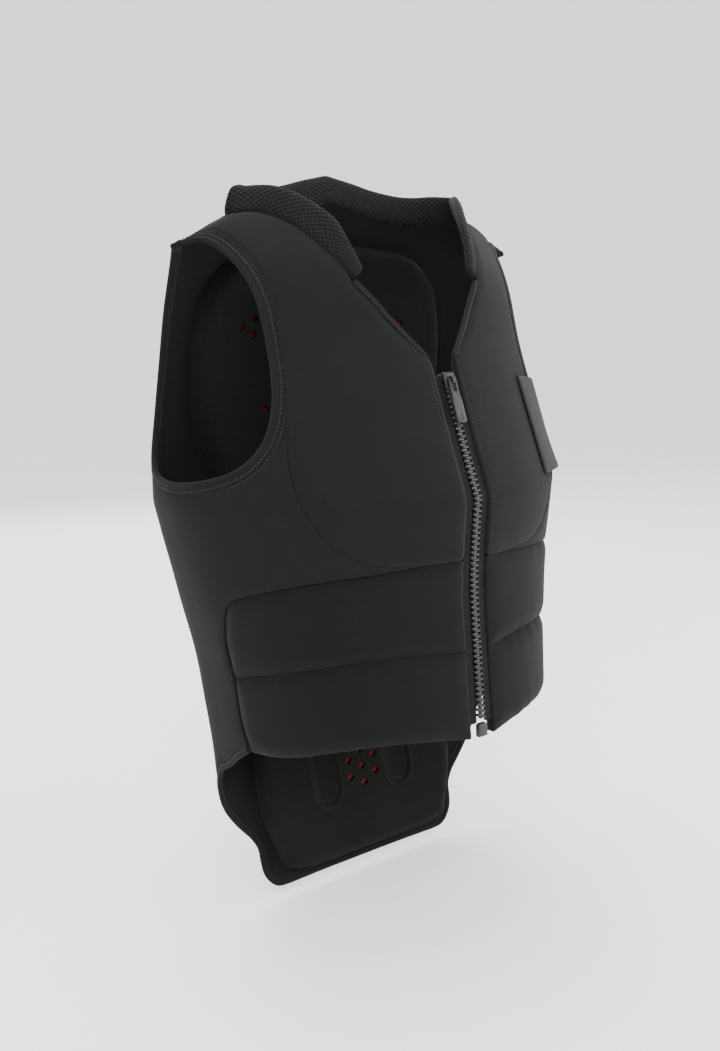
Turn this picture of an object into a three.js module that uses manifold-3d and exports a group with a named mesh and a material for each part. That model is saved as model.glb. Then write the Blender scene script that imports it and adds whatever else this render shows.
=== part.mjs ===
// Equestrian body protector: a zip-front padded vest with a long back protector.
// Millimetres, +Z up, the front of the vest faces -Y and the wearer's left is +X.
// The origin lies midway between the two shoulder straps, where they rest on the shoulders.
import * as THREE from 'three';
import Module from 'manifold-3d';
import { mergeVertices } from 'three/addons/utils/BufferGeometryUtils.js';

const wasm = await Module();
wasm.setup();

// Main sizes of the vest
const backLength = 552;
const armpitDrop = 195;
const chestHalfWidth = 193;
const frontDepth = 149;
const backDepth = 80;
const neckHalfWidth = 126;
const shoulderHalfWidth = 177;
const neckPointHeight = 30;
const shoulderTipHeight = 4;
const napeRise = 45;
const tailHalfWidth = 126;
const archHalfWidth = 205;

// Cloth and padding
const seamGap = 0.4;
const backSeamTrim = 1.1;
const pinch = 1.4;
const padPinch = 3.2;
const chestEdge = 5;
const chestFoam = 13.5;
const strapThinning = 0.35;
const bellyEdge = 6;
const bellyFoam = 15;
const sideCloth = 3.4;
const backCloth = 3;
const armholeBandWidth = 9;
const hemBandWidth = 6;
const neckBandWidth = 5;
const bandGap = 0.75;
const bandProud = 0.5;

// Back protector
const coreThickness = 12;
const coreClearance = 1.7;
const coverThickness = 4.5;
const protectorHalfWidth = 136;
const diamondReach = 4.3;
const channelWidth = 30;
const channelOffset = 41;
const channelDepth = 2.6;

// Collar
const collarWidth = 23;
const collarThickness = 8.5;

// Zip
const zipHalfWidth = 12;
const tapeThickness = 1.2;
const tapeRecess = 3.4;
const toothPitch = 4.4;
const toothReach = 1.5;
const rowOuter = 3.9;
const rowInner = 2.5;
const toothHeight = 3;
const sliderWidth = 11;
const sliderLength = 15;
const postWidth = 4.6;
const sliderClearance = 0.9;
const plateThickness = 1.8;
const bailWidth = 3.2;
const bailThickness = 1.5;
const barHalfHeight = 1;
const barRadius = 1.35;
const barClearance = 0.45;
const pullLength = 36;
const pullTopWidth = 8;
const pullEndWidth = 9.6;
const pullThickness = 1.8;
const pullHoleLength = 8.4;
const boxWidth = 9.6;
const boxLength = 11;

// Chest patch
const patchThickness = 2.4;
const patchLift = 3;
const patchGap = 0.8;

// Cross-sections from the tail up to the armpit, as shares of the main sizes.
// The roundness is the exponent of the curve: 2 is an ellipse, more is squarer.
const sections = [
  { level: -1, width: 0.74, front: 0.906, back: 0.25, frontRoundness: 2.2, backRoundness: 3.3 },
  { level: -0.79, width: 0.785, front: 0.953, back: 0.42, frontRoundness: 2.2, backRoundness: 4.2 },
  { level: -0.58, width: 0.795, front: 1.007, back: 0.66, frontRoundness: 2.2, backRoundness: 4 },
  { level: -0.367, width: 0.839, front: 0.98, back: 0.9, frontRoundness: 2.1, backRoundness: 3.3 },
  { level: -0.185, width: 0.922, front: 0.96, back: 0.975, frontRoundness: 1.95, backRoundness: 3 },
  { level: 0, width: 1, front: 1, back: 1, frontRoundness: 1.85, backRoundness: 3 },
];

// How the front and the back close over the shoulder, from the armpit up to the ridge.
const frontArch = [
  { level: 0, rise: 0, depth: 1 },
  { level: 0.2, rise: 0.25, depth: 0.83 },
  { level: 0.4, rise: 0.5, depth: 0.68 },
  { level: 0.6, rise: 0.72, depth: 0.58 },
  { level: 0.75, rise: 0.86, depth: 0.42 },
  { level: 0.9, rise: 0.965, depth: 0.2 },
  { level: 1, rise: 1, depth: 0 },
];
const backArch = [
  { level: 0, rise: 0, depth: 1 },
  { level: 0.2, rise: 0.25, depth: 1 },
  { level: 0.4, rise: 0.5, depth: 0.96 },
  { level: 0.6, rise: 0.72, depth: 0.82 },
  { level: 0.75, rise: 0.86, depth: 0.58 },
  { level: 0.9, rise: 0.965, depth: 0.26 },
  { level: 1, rise: 1, depth: 0 },
];

// Edges and seams drawn on the vest. Around runs from 0 at the zip over 1 at the side
// to 2 at the middle of the back; level runs from -1 at the tail over 0 at the armpit
// to 1 on the shoulder ridge.
const armholeEdge = [
  { around: 0.863, level: 1 },
  { around: 0.76, level: 0.905 },
  { around: 0.665, level: 0.74 },
  { around: 0.59, level: 0.56 },
  { around: 0.552, level: 0.38 },
  { around: 0.556, level: 0.26 },
  { around: 0.6, level: 0.17 },
  { around: 0.68, level: 0.117 },
  { around: 0.79, level: 0.092 },
  { around: 0.93, level: 0.085 },
  { around: 1.06, level: 0.105 },
  { around: 1.17, level: 0.155 },
  { around: 1.235, level: 0.24 },
  { around: 1.25, level: 0.38 },
  { around: 1.225, level: 0.56 },
  { around: 1.19, level: 0.76 },
  { around: 1.16, level: 0.91 },
  { around: 1.137, level: 1 },
];
const frontNeckline = [
  { around: 0, level: 0.297 },
  { around: 0.055, level: 0.33 },
  { around: 0.115, level: 0.388 },
  { around: 0.19, level: 0.475 },
  { around: 0.265, level: 0.56 },
  { around: 0.35, level: 0.68 },
  { around: 0.44, level: 0.82 },
  { around: 0.53, level: 0.925 },
  { around: 0.615, level: 1 },
];
const backNeckline = [
  { around: 1.385, level: 1 },
  { around: 1.49, level: 0.92 },
  { around: 1.63, level: 0.845 },
  { around: 1.8, level: 0.808 },
  { around: 2, level: 0.8 },
];
const chestSeam = [
  { around: 0.05, level: -0.133 },
  { around: 0.17, level: -0.133 },
  { around: 0.29, level: -0.131 },
  { around: 0.35, level: -0.12 },
  { around: 0.41, level: -0.097 },
  { around: 0.45, level: -0.07 },
  { around: 0.485, level: -0.035 },
  { around: 0.507, level: 0.01 },
  { around: 0.522, level: 0.07 },
];
const bellySeam = [
  { around: 0.05, level: -0.14 },
  { around: 0.17, level: -0.14 },
  { around: 0.29, level: -0.143 },
  { around: 0.4, level: -0.15 },
  { around: 0.5, level: -0.157 },
  { around: 0.6, level: -0.169 },
  { around: 0.7, level: -0.184 },
  { around: 0.78, level: -0.2 },
  { around: 0.83, level: -0.222 },
  { around: 0.86, level: -0.26 },
];
const padSide = [
  { around: 0.86, level: -0.26 },
  { around: 0.885, level: -0.3 },
  { around: 0.897, level: -0.34 },
  { around: 0.893, level: -0.392 },
  { around: 0.9, level: -0.45 },
  { around: 0.9, level: -0.51 },
  { around: 0.875, level: -0.566 },
];
const padSeam = [
  { around: 0.05, level: -0.342 },
  { around: 0.23, level: -0.331 },
  { around: 0.41, level: -0.337 },
  { around: 0.54, level: -0.348 },
  { around: 0.68, level: -0.363 },
  { around: 0.79, level: -0.379 },
  { around: 0.893, level: -0.392 },
];
const frontHem = [
  { around: 0.05, level: -0.542 },
  { around: 0.15, level: -0.53 },
  { around: 0.28, level: -0.523 },
  { around: 0.41, level: -0.526 },
  { around: 0.54, level: -0.538 },
  { around: 0.68, level: -0.556 },
  { around: 0.79, level: -0.565 },
  { around: 0.875, level: -0.566 },
];
const sideHem = [
  { around: 0.875, level: -0.566 },
  { around: 0.93, level: -0.59 },
  { around: 1.01, level: -0.638 },
  { around: 1.1, level: -0.688 },
  { around: 1.2, level: -0.732 },
  { around: 1.31, level: -0.768 },
  { around: 1.41, level: -0.8 },
];
// From the notch beside the tail, round its corner, to the middle of the back.
const tailHem = [
  { across: 0.972, down: 0.9 },
  { across: 0.925, down: 0.914 },
  { across: 0.892, down: 0.93 },
  { across: 0.887, down: 0.95 },
  { across: 0.868, down: 0.973 },
  { across: 0.8, down: 0.993 },
  { across: 0.7, down: 1 },
  { across: 0.35, down: 1 },
  { across: 0, down: 1 },
];
// Outline of the back protector: across is a share of its half width and down a share
// of the back length below the shoulder rest, above it where negative.
const protectorOutline = [
  { across: 0, down: -0.025 },
  { across: 0.42, down: -0.022 },
  { across: 0.72, down: -0.008 },
  { across: 0.9, down: 0.035 },
  { across: 0.985, down: 0.1 },
  { across: 1, down: 0.19 },
  { across: 0.94, down: 0.27 },
  { across: 0.82, down: 0.345 },
  { across: 0.74, down: 0.43 },
  { across: 0.72, down: 0.56 },
  { across: 0.745, down: 0.69 },
  { across: 0.79, down: 0.8 },
  { across: 0.775, down: 0.88 },
  { across: 0.715, down: 0.94 },
  { across: 0.66, down: 0.968 },
  { across: 0.5, down: 0.977 },
  { across: 0, down: 0.977 },
];
// Groups of diamond perforations, three columns each, the outer two half a row up and
// one row shorter: where the lowest diamond of the middle column is, and how they repeat.
const diamondGroups = [
  { across: 0, down: 0.872, rows: 5, columnStep: 14.5, rowStep: 14.5 },
  { across: 50.5, down: 0.246, rows: 2, columnStep: 12.5, rowStep: 14.5 },
  { across: -50.5, down: 0.246, rows: 2, columnStep: 12.5, rowStep: 14.5 },
  { across: 76, down: 0.112, rows: 2, columnStep: 14, rowStep: 14.5 },
  { across: -76, down: 0.112, rows: 2, columnStep: 14, rowStep: 14.5 },
];
const channelTop = 0.36;
const channelEnd = 0.893;

// Where the seams meet the armhole, as shares of its edge from the front of the strap
const chestSeamOnArmhole = 0.335;
const sideSeamOnArmhole = 0.7;
const underarmOnArmhole = 0.44;
const collarFrontEnd = 0.42;

// Faces along the pieces
const backRelaxSteps = 40;
const armholeFaces = 32;
const chestColumns = 8;
const zipRows = 4;
const vNeckRows = 3;
const sideRows = 6;
const padSideRows = 5;
const bellyRows = 4;
const backColumns = tailHem.length;
const backSeamRows = 7;
const coreColumns = 6;
const coreRows = 10;

// Catmull-Rom interpolation of one column of a table over its level column.
function follow(table, column, level) {
  const last = table.length - 1;
  const x = Math.min(Math.max(level, table[0].level), table[last].level);
  let i = 0;
  while (i < last - 1 && x > table[i + 1].level) i += 1;
  const slope = (j) => {
    const a = table[Math.max(j - 1, 0)];
    const b = table[Math.min(j + 1, last)];
    return (b[column] - a[column]) / (b.level - a.level);
  };
  const h = table[i + 1].level - table[i].level;
  const t = (x - table[i].level) / h;
  const start = (2 * t ** 3 - 3 * t ** 2 + 1) * table[i][column];
  const end = (3 * t ** 2 - 2 * t ** 3) * table[i + 1][column];
  return start + end + (t ** 3 - 2 * t ** 2 + t) * h * slope(i) + (t ** 3 - t ** 2) * h * slope(i + 1);
}

function ridgeHeight(x) {
  const slope = (shoulderTipHeight - neckPointHeight) / (shoulderHalfWidth - neckHalfWidth);
  if (x < neckHalfWidth) return neckPointHeight + napeRise * (1 - x / neckHalfWidth);
  return neckPointHeight + slope * (x - neckHalfWidth);
}

// A point on the outer surface of the wearer's left half.
function vest(around, level) {
  const isFront = around <= 1;
  const share = isFront ? around : 2 - around;
  const row = Math.min(level, 0);
  const power = 2 / follow(sections, isFront ? 'frontRoundness' : 'backRoundness', row);
  const reach = isFront
    ? -frontDepth * follow(sections, 'front', row)
    : backDepth * follow(sections, 'back', row);
  const angle = share * Math.PI / 2;
  const x = chestHalfWidth * follow(sections, 'width', row) * Math.sin(angle) ** power;
  const y = reach * Math.abs(Math.cos(angle)) ** power;
  if (level <= 0) return new THREE.Vector3(x, y, -armpitDrop + level * (backLength - armpitDrop));
  const arch = isFront ? frontArch : backArch;
  const rise = follow(arch, 'rise', level);
  const ridgeX = archHalfWidth * share;
  const ridgeZ = ridgeHeight(ridgeX);
  return new THREE.Vector3(
    x + (ridgeX - x) * rise ** 1.5,
    y * follow(arch, 'depth', level),
    -armpitDrop + (ridgeZ + armpitDrop) * rise,
  );
}

// How the surface runs at a point: along around, along level, and its outward normal.
function frameAt(around, level) {
  const step = 0.004;
  const a0 = Math.max(around - step, around > 1 ? 1 : 0);
  const a1 = Math.min(around + step, around > 1 ? 2 : around <= 1 - step ? 1 : 1);
  const l0 = Math.max(level - step, -1);
  const l1 = Math.min(level + step, 1);
  const across = vest(a1, level).sub(vest(a0, level)).divideScalar(a1 - a0);
  const up = vest(around, l1).sub(vest(around, l0)).divideScalar(l1 - l0);
  const rising = level > 0.985 ? new THREE.Vector3(0, around > 1 ? -1 : 1, 0) : up;
  const normal = across.clone().cross(rising).normalize();
  if (around < 0.02 || around > 1.98) normal.setX(0).normalize();
  return { across, up, normal };
}

// Curves are lists of points on the surface, as (around, level) pairs.
const pair = (row) => new THREE.Vector2(row.around, row.level);

function sampled(table, count) {
  return new THREE.SplineCurve(table.map(pair)).getSpacedPoints(count);
}

function resampled(points, count) {
  const path = new THREE.CurvePath();
  for (let i = 1; i < points.length; i += 1) path.add(new THREE.LineCurve(points[i - 1], points[i]));
  return path.getSpacedPoints(count);
}

function part(points, from, to) {
  const path = new THREE.CurvePath();
  for (let i = 1; i < points.length; i += 1) path.add(new THREE.LineCurve(points[i - 1], points[i]));
  const steps = Math.max(2, Math.round(Math.abs(to - from) * points.length));
  const list = [];
  for (let i = 0; i <= steps; i += 1) list.push(path.getPointAt(from + (to - from) * i / steps));
  return list;
}

// Which way a curve runs in space at one of its points.
function heading(points, i) {
  const a = points[Math.max(i - 1, 0)];
  const b = points[Math.min(i + 1, points.length - 1)];
  const here = vest(points[i].x, points[i].y);
  const back = here.clone().sub(vest(a.x, a.y)).normalize();
  const ahead = vest(b.x, b.y).sub(here).normalize();
  return back.add(ahead).normalize();
}

// The curve moved sideways over the surface by a distance, to the left of its run if positive.
function shifted(points, distance) {
  return points.map((point, i) => {
    const { across, up, normal } = frameAt(point.x, point.y);
    const side = normal.clone().cross(heading(points, i)).multiplyScalar(distance);
    if (point.y > 0.999) {
      const step = Math.sign(side.dot(across)) * Math.abs(distance) / across.length();
      return new THREE.Vector2(point.x + step, 1);
    }
    const aa = across.dot(across);
    const uu = up.dot(up);
    const au = across.dot(up);
    const a = side.dot(across);
    const u = side.dot(up);
    const det = aa * uu - au * au;
    const around = point.x + (a * uu - u * au) / det;
    const level = Math.min(point.y + (u * aa - a * au) / det, 0.98);
    return new THREE.Vector2(Math.min(Math.max(around, 0), 2), level);
  });
}

// Fills the space between four edges that meet at their ends, evening out the inner points.
function coons(left, right, bottom, top, across, up, relaxSteps = 0) {
  const mix = (a, b, t) => a.clone().lerp(b, t);
  const grid = [];
  for (let j = 0; j <= up; j += 1) {
    const v = j / up;
    const row = [];
    for (let i = 0; i <= across; i += 1) {
      const u = i / across;
      const sides = mix(left[j], right[j], u);
      const ends = mix(bottom[i], top[i], v);
      const corners = mix(mix(bottom[0], bottom[across], u), mix(top[0], top[across], u), v);
      row.push(sides.add(ends).sub(corners));
    }
    grid.push(row);
  }
  for (let n = 0; n < relaxSteps; n += 1) {
    for (let j = 1; j < up; j += 1) {
      for (let i = 1; i < across; i += 1) {
        grid[j][i].copy(grid[j][i - 1]).add(grid[j][i + 1]).add(grid[j - 1][i]).add(grid[j + 1][i]).divideScalar(4);
      }
    }
  }
  return grid;
}

function geometryOf(positions, triangles) {
  const geometry = new THREE.BufferGeometry();
  geometry.setAttribute('position', new THREE.Float32BufferAttribute(positions, 3));
  geometry.setIndex(triangles);
  return geometry;
}

// Turns the faces outwards if the enclosed volume comes out negative.
function outward(geometry) {
  const p = geometry.attributes.position;
  const index = Array.from(geometry.index.array);
  const [a, b, c] = [new THREE.Vector3(), new THREE.Vector3(), new THREE.Vector3()];
  let volume = 0;
  for (let i = 0; i < index.length; i += 3) {
    a.fromBufferAttribute(p, index[i]);
    b.fromBufferAttribute(p, index[i + 1]);
    c.fromBufferAttribute(p, index[i + 2]);
    volume += a.dot(b.cross(c));
  }
  if (volume < 0) {
    for (let i = 0; i < index.length; i += 3) [index[i + 1], index[i + 2]] = [index[i + 2], index[i + 1]];
  }
  geometry.setIndex(index);
  return geometry;
}

// A closed shell from two grids of points, the outer face and the inner face.
function shell(outer, inner) {
  const rows = outer.length;
  const columns = outer[0].length;
  const positions = [...outer.flat(), ...inner.flat()].flatMap((p) => [p.x, p.y, p.z]);
  const at = (layer, j, i) => layer * rows * columns + j * columns + i;
  const triangles = [];
  const quad = (a, b, c, d) => triangles.push(a, b, c, a, c, d);
  for (let j = 0; j < rows - 1; j += 1) {
    for (let i = 0; i < columns - 1; i += 1) {
      quad(at(0, j, i), at(0, j, i + 1), at(0, j + 1, i + 1), at(0, j + 1, i));
      quad(at(1, j, i), at(1, j + 1, i), at(1, j + 1, i + 1), at(1, j, i + 1));
    }
    quad(at(0, j, 0), at(0, j + 1, 0), at(1, j + 1, 0), at(1, j, 0));
    quad(at(0, j + 1, columns - 1), at(0, j, columns - 1), at(1, j, columns - 1), at(1, j + 1, columns - 1));
  }
  for (let i = 0; i < columns - 1; i += 1) {
    quad(at(0, 0, i + 1), at(0, 0, i), at(1, 0, i), at(1, 0, i + 1));
    quad(at(0, rows - 1, i), at(0, rows - 1, i + 1), at(1, rows - 1, i + 1), at(1, rows - 1, i));
  }
  return outward(geometryOf(positions, triangles));
}

// Lays grids of (around, level) pairs on the surface as one closed piece. Depths are
// measured inwards; the outer edge is drawn in by the trim. A piece that crosses the
// middle of the back is laid as its left half and then mirrored.
function laid(grids, outerDepth, innerDepth, trim, isCentred = false) {
  const points = [];
  const quads = [];
  for (const grid of grids) {
    const index = grid.map((row, j) => row.map((p, i) => {
      const known = points.findIndex((q) => q.pair.distanceTo(p) < 1e-5);
      if (known >= 0) return known;
      points.push({ pair: p, u: i / (row.length - 1), v: j / (grid.length - 1) });
      return points.length - 1;
    }));
    for (let j = 0; j < grid.length - 1; j += 1) {
      for (let i = 0; i < grid[0].length - 1; i += 1) {
        quads.push([index[j][i], index[j][i + 1], index[j + 1][i + 1], index[j + 1][i]]);
      }
    }
  }
  const isMiddle = (i) => isCentred && points[i].pair.x > 1.9999;
  const edges = new Map();
  for (const quad of quads) {
    quad.forEach((a, i) => {
      const b = quad[(i + 1) % 4];
      if (a === b) return;
      if (edges.has(`${b},${a}`)) edges.delete(`${b},${a}`);
      else edges.set(`${a},${b}`, [a, b]);
    });
  }
  const border = [...edges.values()].filter(([a, b]) => !(isMiddle(a) && isMiddle(b)));
  const base = points.map(({ pair: p }) => ({ point: vest(p.x, p.y), normal: frameAt(p.x, p.y).normal }));
  const inward = new Map();
  for (const [a, b] of border) {
    const run = base[b].point.clone().sub(base[a].point);
    for (const i of [a, b]) {
      const into = base[i].normal.clone().cross(run).normalize();
      inward.set(i, [...(inward.get(i) ?? []), into]);
    }
  }
  for (const [i, [one, two = one]] of inward) {
    const both = one.clone().add(two).multiplyScalar(trim / Math.max(1 + one.dot(two), 0.4));
    base[i].point.add(both);
  }
  const layer = (depth) => base.map(({ point, normal }, i) => {
    const moved = point.clone().addScaledVector(normal, -depth(points[i].u, points[i].v));
    return isMiddle(i) ? moved.setX(0) : moved;
  });
  const corners = [...layer(outerDepth), ...layer(innerDepth)];
  const count = points.length;
  const triangles = [];
  for (const [a, b, c, d] of quads) {
    triangles.push(a, b, c, a, c, d);
    triangles.push(count + a, count + c, count + b, count + a, count + d, count + c);
  }
  for (const [a, b] of border) triangles.push(b, a, count + a, b, count + a, count + b);
  if (!isCentred) return outward(geometryOf(corners.flatMap((p) => [p.x, p.y, p.z]), triangles));
  const twin = corners.map((p) => p.clone().setX(-p.x));
  const total = corners.length;
  const reversed = [];
  for (let i = 0; i < triangles.length; i += 3) {
    reversed.push(total + triangles[i], total + triangles[i + 2], total + triangles[i + 1]);
  }
  const all = [...corners, ...twin].flatMap((p) => [p.x, p.y, p.z]);
  return outward(mergeVertices(geometryOf(all, [...triangles, ...reversed]), 1e-4));
}

// 0 at the edges of a padded piece and 1 over most of its middle.
const crown = (u, v, power = 5) => (1 - Math.abs(2 * u - 1) ** power) * (1 - Math.abs(2 * v - 1) ** 5);

function mirrored(geometry) {
  const copy = geometry.clone();
  copy.scale(-1, 1, 1);
  return outward(copy);
}

// A rounded band between its free edge and the line where it meets the cloth. Both are
// lists of (around, level) pairs; depths are measured inwards from the surface.
function bandRings(edge, inner, thickness) {
  const top = pinch - bandProud;
  const low = top + thickness;
  const round = thickness / 3;
  return edge.map((point, i) => {
    const outerFrame = frameAt(point.x, point.y);
    const innerFrame = frameAt(inner[i].x, inner[i].y);
    const far = vest(point.x, point.y);
    const near = vest(inner[i].x, inner[i].y);
    const over = near.clone().sub(far).normalize();
    near.addScaledVector(over, -bandGap);
    const place = (start, normal, shift, depth) => (
      start.clone().addScaledVector(over, shift).addScaledVector(normal, -depth));
    return [
      place(far, outerFrame.normal, 0, top + round),
      place(far, outerFrame.normal, round, top),
      place(near, innerFrame.normal, 0, top),
      place(near, innerFrame.normal, 0, low),
      place(far, outerFrame.normal, round, low),
      place(far, outerFrame.normal, 0, low - round),
    ];
  });
}

// Moves the first ring along the band, away from the piece it starts beside.
function spaced(rings, distance) {
  const run = rings[1][0].clone().sub(rings[0][0]).normalize().multiplyScalar(distance);
  return [rings[0].map((p) => p.clone().add(run)), ...rings.slice(1)];
}

// Joins rings of points into a closed body, with flat ends unless the rings form a loop.
function tube(rings, isLoop) {
  const count = rings[0].length;
  const positions = rings.flat().flatMap((p) => [p.x, p.y, p.z]);
  const triangles = [];
  const last = isLoop ? rings.length : rings.length - 1;
  for (let j = 0; j < last; j += 1) {
    const next = (j + 1) % rings.length;
    for (let i = 0; i < count; i += 1) {
      const k = (i + 1) % count;
      const [a, b, c, d] = [j * count + i, j * count + k, next * count + k, next * count + i];
      triangles.push(a, b, c, a, c, d);
    }
  }
  if (!isLoop) {
    const end = (rings.length - 1) * count;
    for (let i = 1; i < count - 1; i += 1) {
      triangles.push(0, i + 1, i);
      triangles.push(end, end + i, end + i + 1);
    }
  }
  return outward(geometryOf(positions, triangles));
}

// The around value at which the surface lies a distance from the middle plane.
function aroundAt(x, level, isBack) {
  let [low, high] = [0, 1];
  for (let i = 0; i < 40; i += 1) {
    const middle = (low + high) / 2;
    const reached = vest(isBack ? 2 - middle : middle, level).x;
    if (reached < x) low = middle;
    else high = middle;
  }
  return isBack ? 2 - low : low;
}

// The level at which the back of the vest has a height, near a distance from the middle.
function levelAt(x, z) {
  if (z <= -armpitDrop) return (z + armpitDrop) / (backLength - armpitDrop);
  let [low, high] = [0, 1];
  for (let i = 0; i < 40; i += 1) {
    const middle = (low + high) / 2;
    if (vest(aroundAt(x, middle, true), middle).z < z) low = middle;
    else high = middle;
  }
  return low;
}

// Shared edges, with the same points on both sides of each seam
const armhole = sampled(armholeEdge, armholeFaces);
const armholeInner = shifted(armhole, -armholeBandWidth);
const chestJoint = Math.round(chestSeamOnArmhole * armholeFaces);
const underarmJoint = Math.round(underarmOnArmhole * armholeFaces);
const sideJoint = Math.round(sideSeamOnArmhole * armholeFaces);
const zipEdge = (level) => new THREE.Vector2(aroundAt(zipHalfWidth, level, false), level);
const wedgeColumns = 2;
const tongueColumns = chestColumns - wedgeColumns;
const chestWedge = [zipEdge(chestSeam[0].level), pair(chestSeam[1]), pair(chestSeam[2])];
const chestCurve = new THREE.SplineCurve([...chestSeam.slice(2).map(pair), armholeInner[chestJoint]]);
const chestRise = chestCurve.getSpacedPoints(tongueColumns);
const bellyWedge = [zipEdge(bellySeam[0].level), pair(bellySeam[1]), pair(bellySeam[2])];
const tongueTop = [...chestRise, ...armholeInner.slice(chestJoint + 1, underarmJoint + 1)];
const bellyRun = sampled(bellySeam.slice(2), tongueTop.length - 1);
const padSideUpper = sampled(padSide.slice(0, 4), bellyRows);
const padSideLower = sampled(padSide.slice(3), bellyRows);
const bellyColumns = wedgeColumns + bellyRun.length - 1;
const padMiddle = resampled([zipEdge(padSeam[0].level), ...sampled(padSeam, 20).slice(1)], bellyColumns);
const hemFront = resampled([zipEdge(frontHem[0].level), ...sampled(frontHem, 20).slice(1)], bellyColumns);
const onBack = ({ across, down }, half) => {
  const level = levelAt(across * half, -down * backLength);
  return new THREE.Vector2(across < 0.001 ? 2 : aroundAt(across * half, level, true), level);
};
const sideHemLine = [...sideHem.map(pair)];
const padSideShare = 0.6;
const tailLine = [pair(sideHem[sideHem.length - 1]), ...tailHem.map((row) => onBack(row, tailHalfWidth))];
const hemLine = new THREE.SplineCurve(sideHemLine).getSpacedPoints(sideJoint - underarmJoint);
const hemWhole = shifted([...hemLine, ...tailLine.slice(1)], hemBandWidth);
hemWhole[0].copy(padSideLower[bellyRows - 1].clone().lerp(padSideLower[bellyRows], padSideShare));
const hemSide = hemWhole.slice(0, hemLine.length);
const hemTail = hemWhole.slice(hemLine.length - 1);
hemTail[hemTail.length - 1].x = 2;

const nodes = new THREE.Group();
nodes.name = 'equestrian_body_protector';

function add(name, geometry, material, parent = nodes) {
  const mesh = new THREE.Mesh(geometry, material);
  mesh.name = name;
  parent.add(mesh);
  return mesh;
}

const finish = (color, roughness, metalness = 0) => new THREE.MeshStandardMaterial({ color, roughness, metalness });
const softshell = finish(0x2b2f2a, 0.85);
const padCloth = finish(0x262925, 0.88);
const lining = finish(0x22241f, 0.9);
const spacerMesh = finish(0x1f211e, 0.9);
const binding = finish(0x1c1e1b, 0.8);
const redFoam = finish(0xa3202c, 0.9);
const tapeCloth = finish(0x161816, 0.85);
const mouldedPlastic = finish(0x3a3d3a, 0.45);
const patchRubber = finish(0x121312, 0.6);

// Chest panels, each running up over the chest into its strap.
const neckWhole = sampled(frontNeckline, 40);
const zipTopOnNeck = neckWhole.findIndex((p) => vest(p.x, p.y).x >= zipHalfWidth) / 40;
const vNeck = resampled(part(neckWhole, zipTopOnNeck, collarFrontEnd - 0.02), vNeckRows);

const neckEdge = shifted(vNeck, -neckBandWidth);
neckEdge[0] = zipEdge(neckEdge[0].y - neckBandWidth * 0.003);

function chestPanel() {
  const rows = zipRows + chestJoint - zipRows;
  const zipLine = resampled([chestWedge[0], neckEdge[0]], zipRows).map((p) => zipEdge(p.y));
  const underCollar = resampled(part(neckWhole, collarFrontEnd, 1), rows - zipRows - vNeckRows);
  const left = [...zipLine, ...neckEdge.slice(1), ...underCollar.slice(1)];
  const right = armholeInner.slice(0, chestJoint + 1).reverse();
  const bottom = [...chestWedge, ...chestRise.slice(1)];
  const top = resampled([left[rows], right[rows]], chestColumns);
  const grid = coons(left, right, bottom, top, chestColumns, rows);
  const fill = (u, v) => (1 - strapThinning * v) * crown(u, v, 3);
  const foam = (u, v) => pinch + chestEdge + (chestFoam - chestEdge) * fill(u, v);
  return laid([grid], (u, v) => pinch * (1 - crown(u, v * 0.75 + 0.1)), foam, seamGap / 2);
}

// Side panels: a tongue under the chest, then round under the arm to the back.
function sidePanel() {
  const last = tongueTop.length - 1;
  const tongueTip = resampled([bellyRun[0], tongueTop[0]], sideRows);
  const fold = resampled([bellyRun[last], tongueTop[last]], sideRows);
  const tongue = coons(tongueTip, fold, bellyRun, tongueTop, last, sideRows);
  const padEdge = [hemSide[0], ...padSideLower.slice(1, -1).reverse(), ...padSideUpper.slice().reverse()];
  const left = [...padEdge, ...fold.slice(1)];
  const rows = left.length - 1;
  const columns = sideJoint - underarmJoint;
  const seam = resampled([hemSide[columns], armholeInner[sideJoint]], rows);
  const flank = coons(left, seam, hemSide, armholeInner.slice(underarmJoint, sideJoint + 1), columns, rows);
  return laid([tongue, flank], () => pinch, () => pinch + sideCloth, seamGap / 2);
}

function bellyPad(top, right, bottom) {
  const left = resampled([bottom[0], top[0]], bellyRows).map((p) => zipEdge(p.y));
  const grid = coons(left, right.slice().reverse(), bottom, top, bellyColumns, bellyRows);
  const outer = (u, v) => padPinch * (1 - crown(u, v));
  const inner = (u, v) => padPinch + bellyEdge + (bellyFoam - padPinch - bellyEdge) * crown(u, v);
  return laid([grid], outer, inner, seamGap / 2);
}

// Back cloth: from the shoulders and the nape to the tail, in one piece.
function backPanel() {
  const sideSeam = resampled([hemTail[0], armholeInner[sideJoint]], backSeamRows);
  const right = sideSeam.concat(armholeInner.slice(sideJoint + 1));
  const rows = right.length - 1;
  const nape = sampled(backNeckline, 12);
  const top = resampled([right[rows], nape[0]], 2).concat(resampled(nape, backColumns - 2).slice(1));
  const bottom = hemTail;
  const middle = resampled([bottom[backColumns], top[backColumns]], rows);
  const grid = coons(right, middle, bottom, top, backColumns, rows, backRelaxSteps);
  return laid([grid], () => pinch, () => pinch + backCloth, backSeamTrim, true);
}

// The protector's half grid, between its outline and the middle of the back.
function protectorGrid() {
  const outline = protectorOutline.map((row) => onBack(row, protectorHalfWidth));
  const side = resampled(outline.slice(3, 15).reverse(), coreRows);
  const top = resampled(outline.slice(0, 4).reverse(), coreColumns);
  const bottom = resampled(outline.slice(14), coreColumns);
  const middle = resampled([bottom[coreColumns], top[coreColumns]], coreRows);
  return coons(side, middle, bottom, top, coreColumns, coreRows);
}

function solidOf(geometry) {
  const bare = geometry.clone();
  bare.deleteAttribute('normal');
  bare.deleteAttribute('uv');
  const merged = mergeVertices(bare, 1e-4);
  return new wasm.Manifold(new wasm.Mesh({
    numProp: 3,
    vertProperties: new Float32Array(merged.attributes.position.array),
    triVerts: new Uint32Array(merged.index.array),
  }));
}

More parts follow.
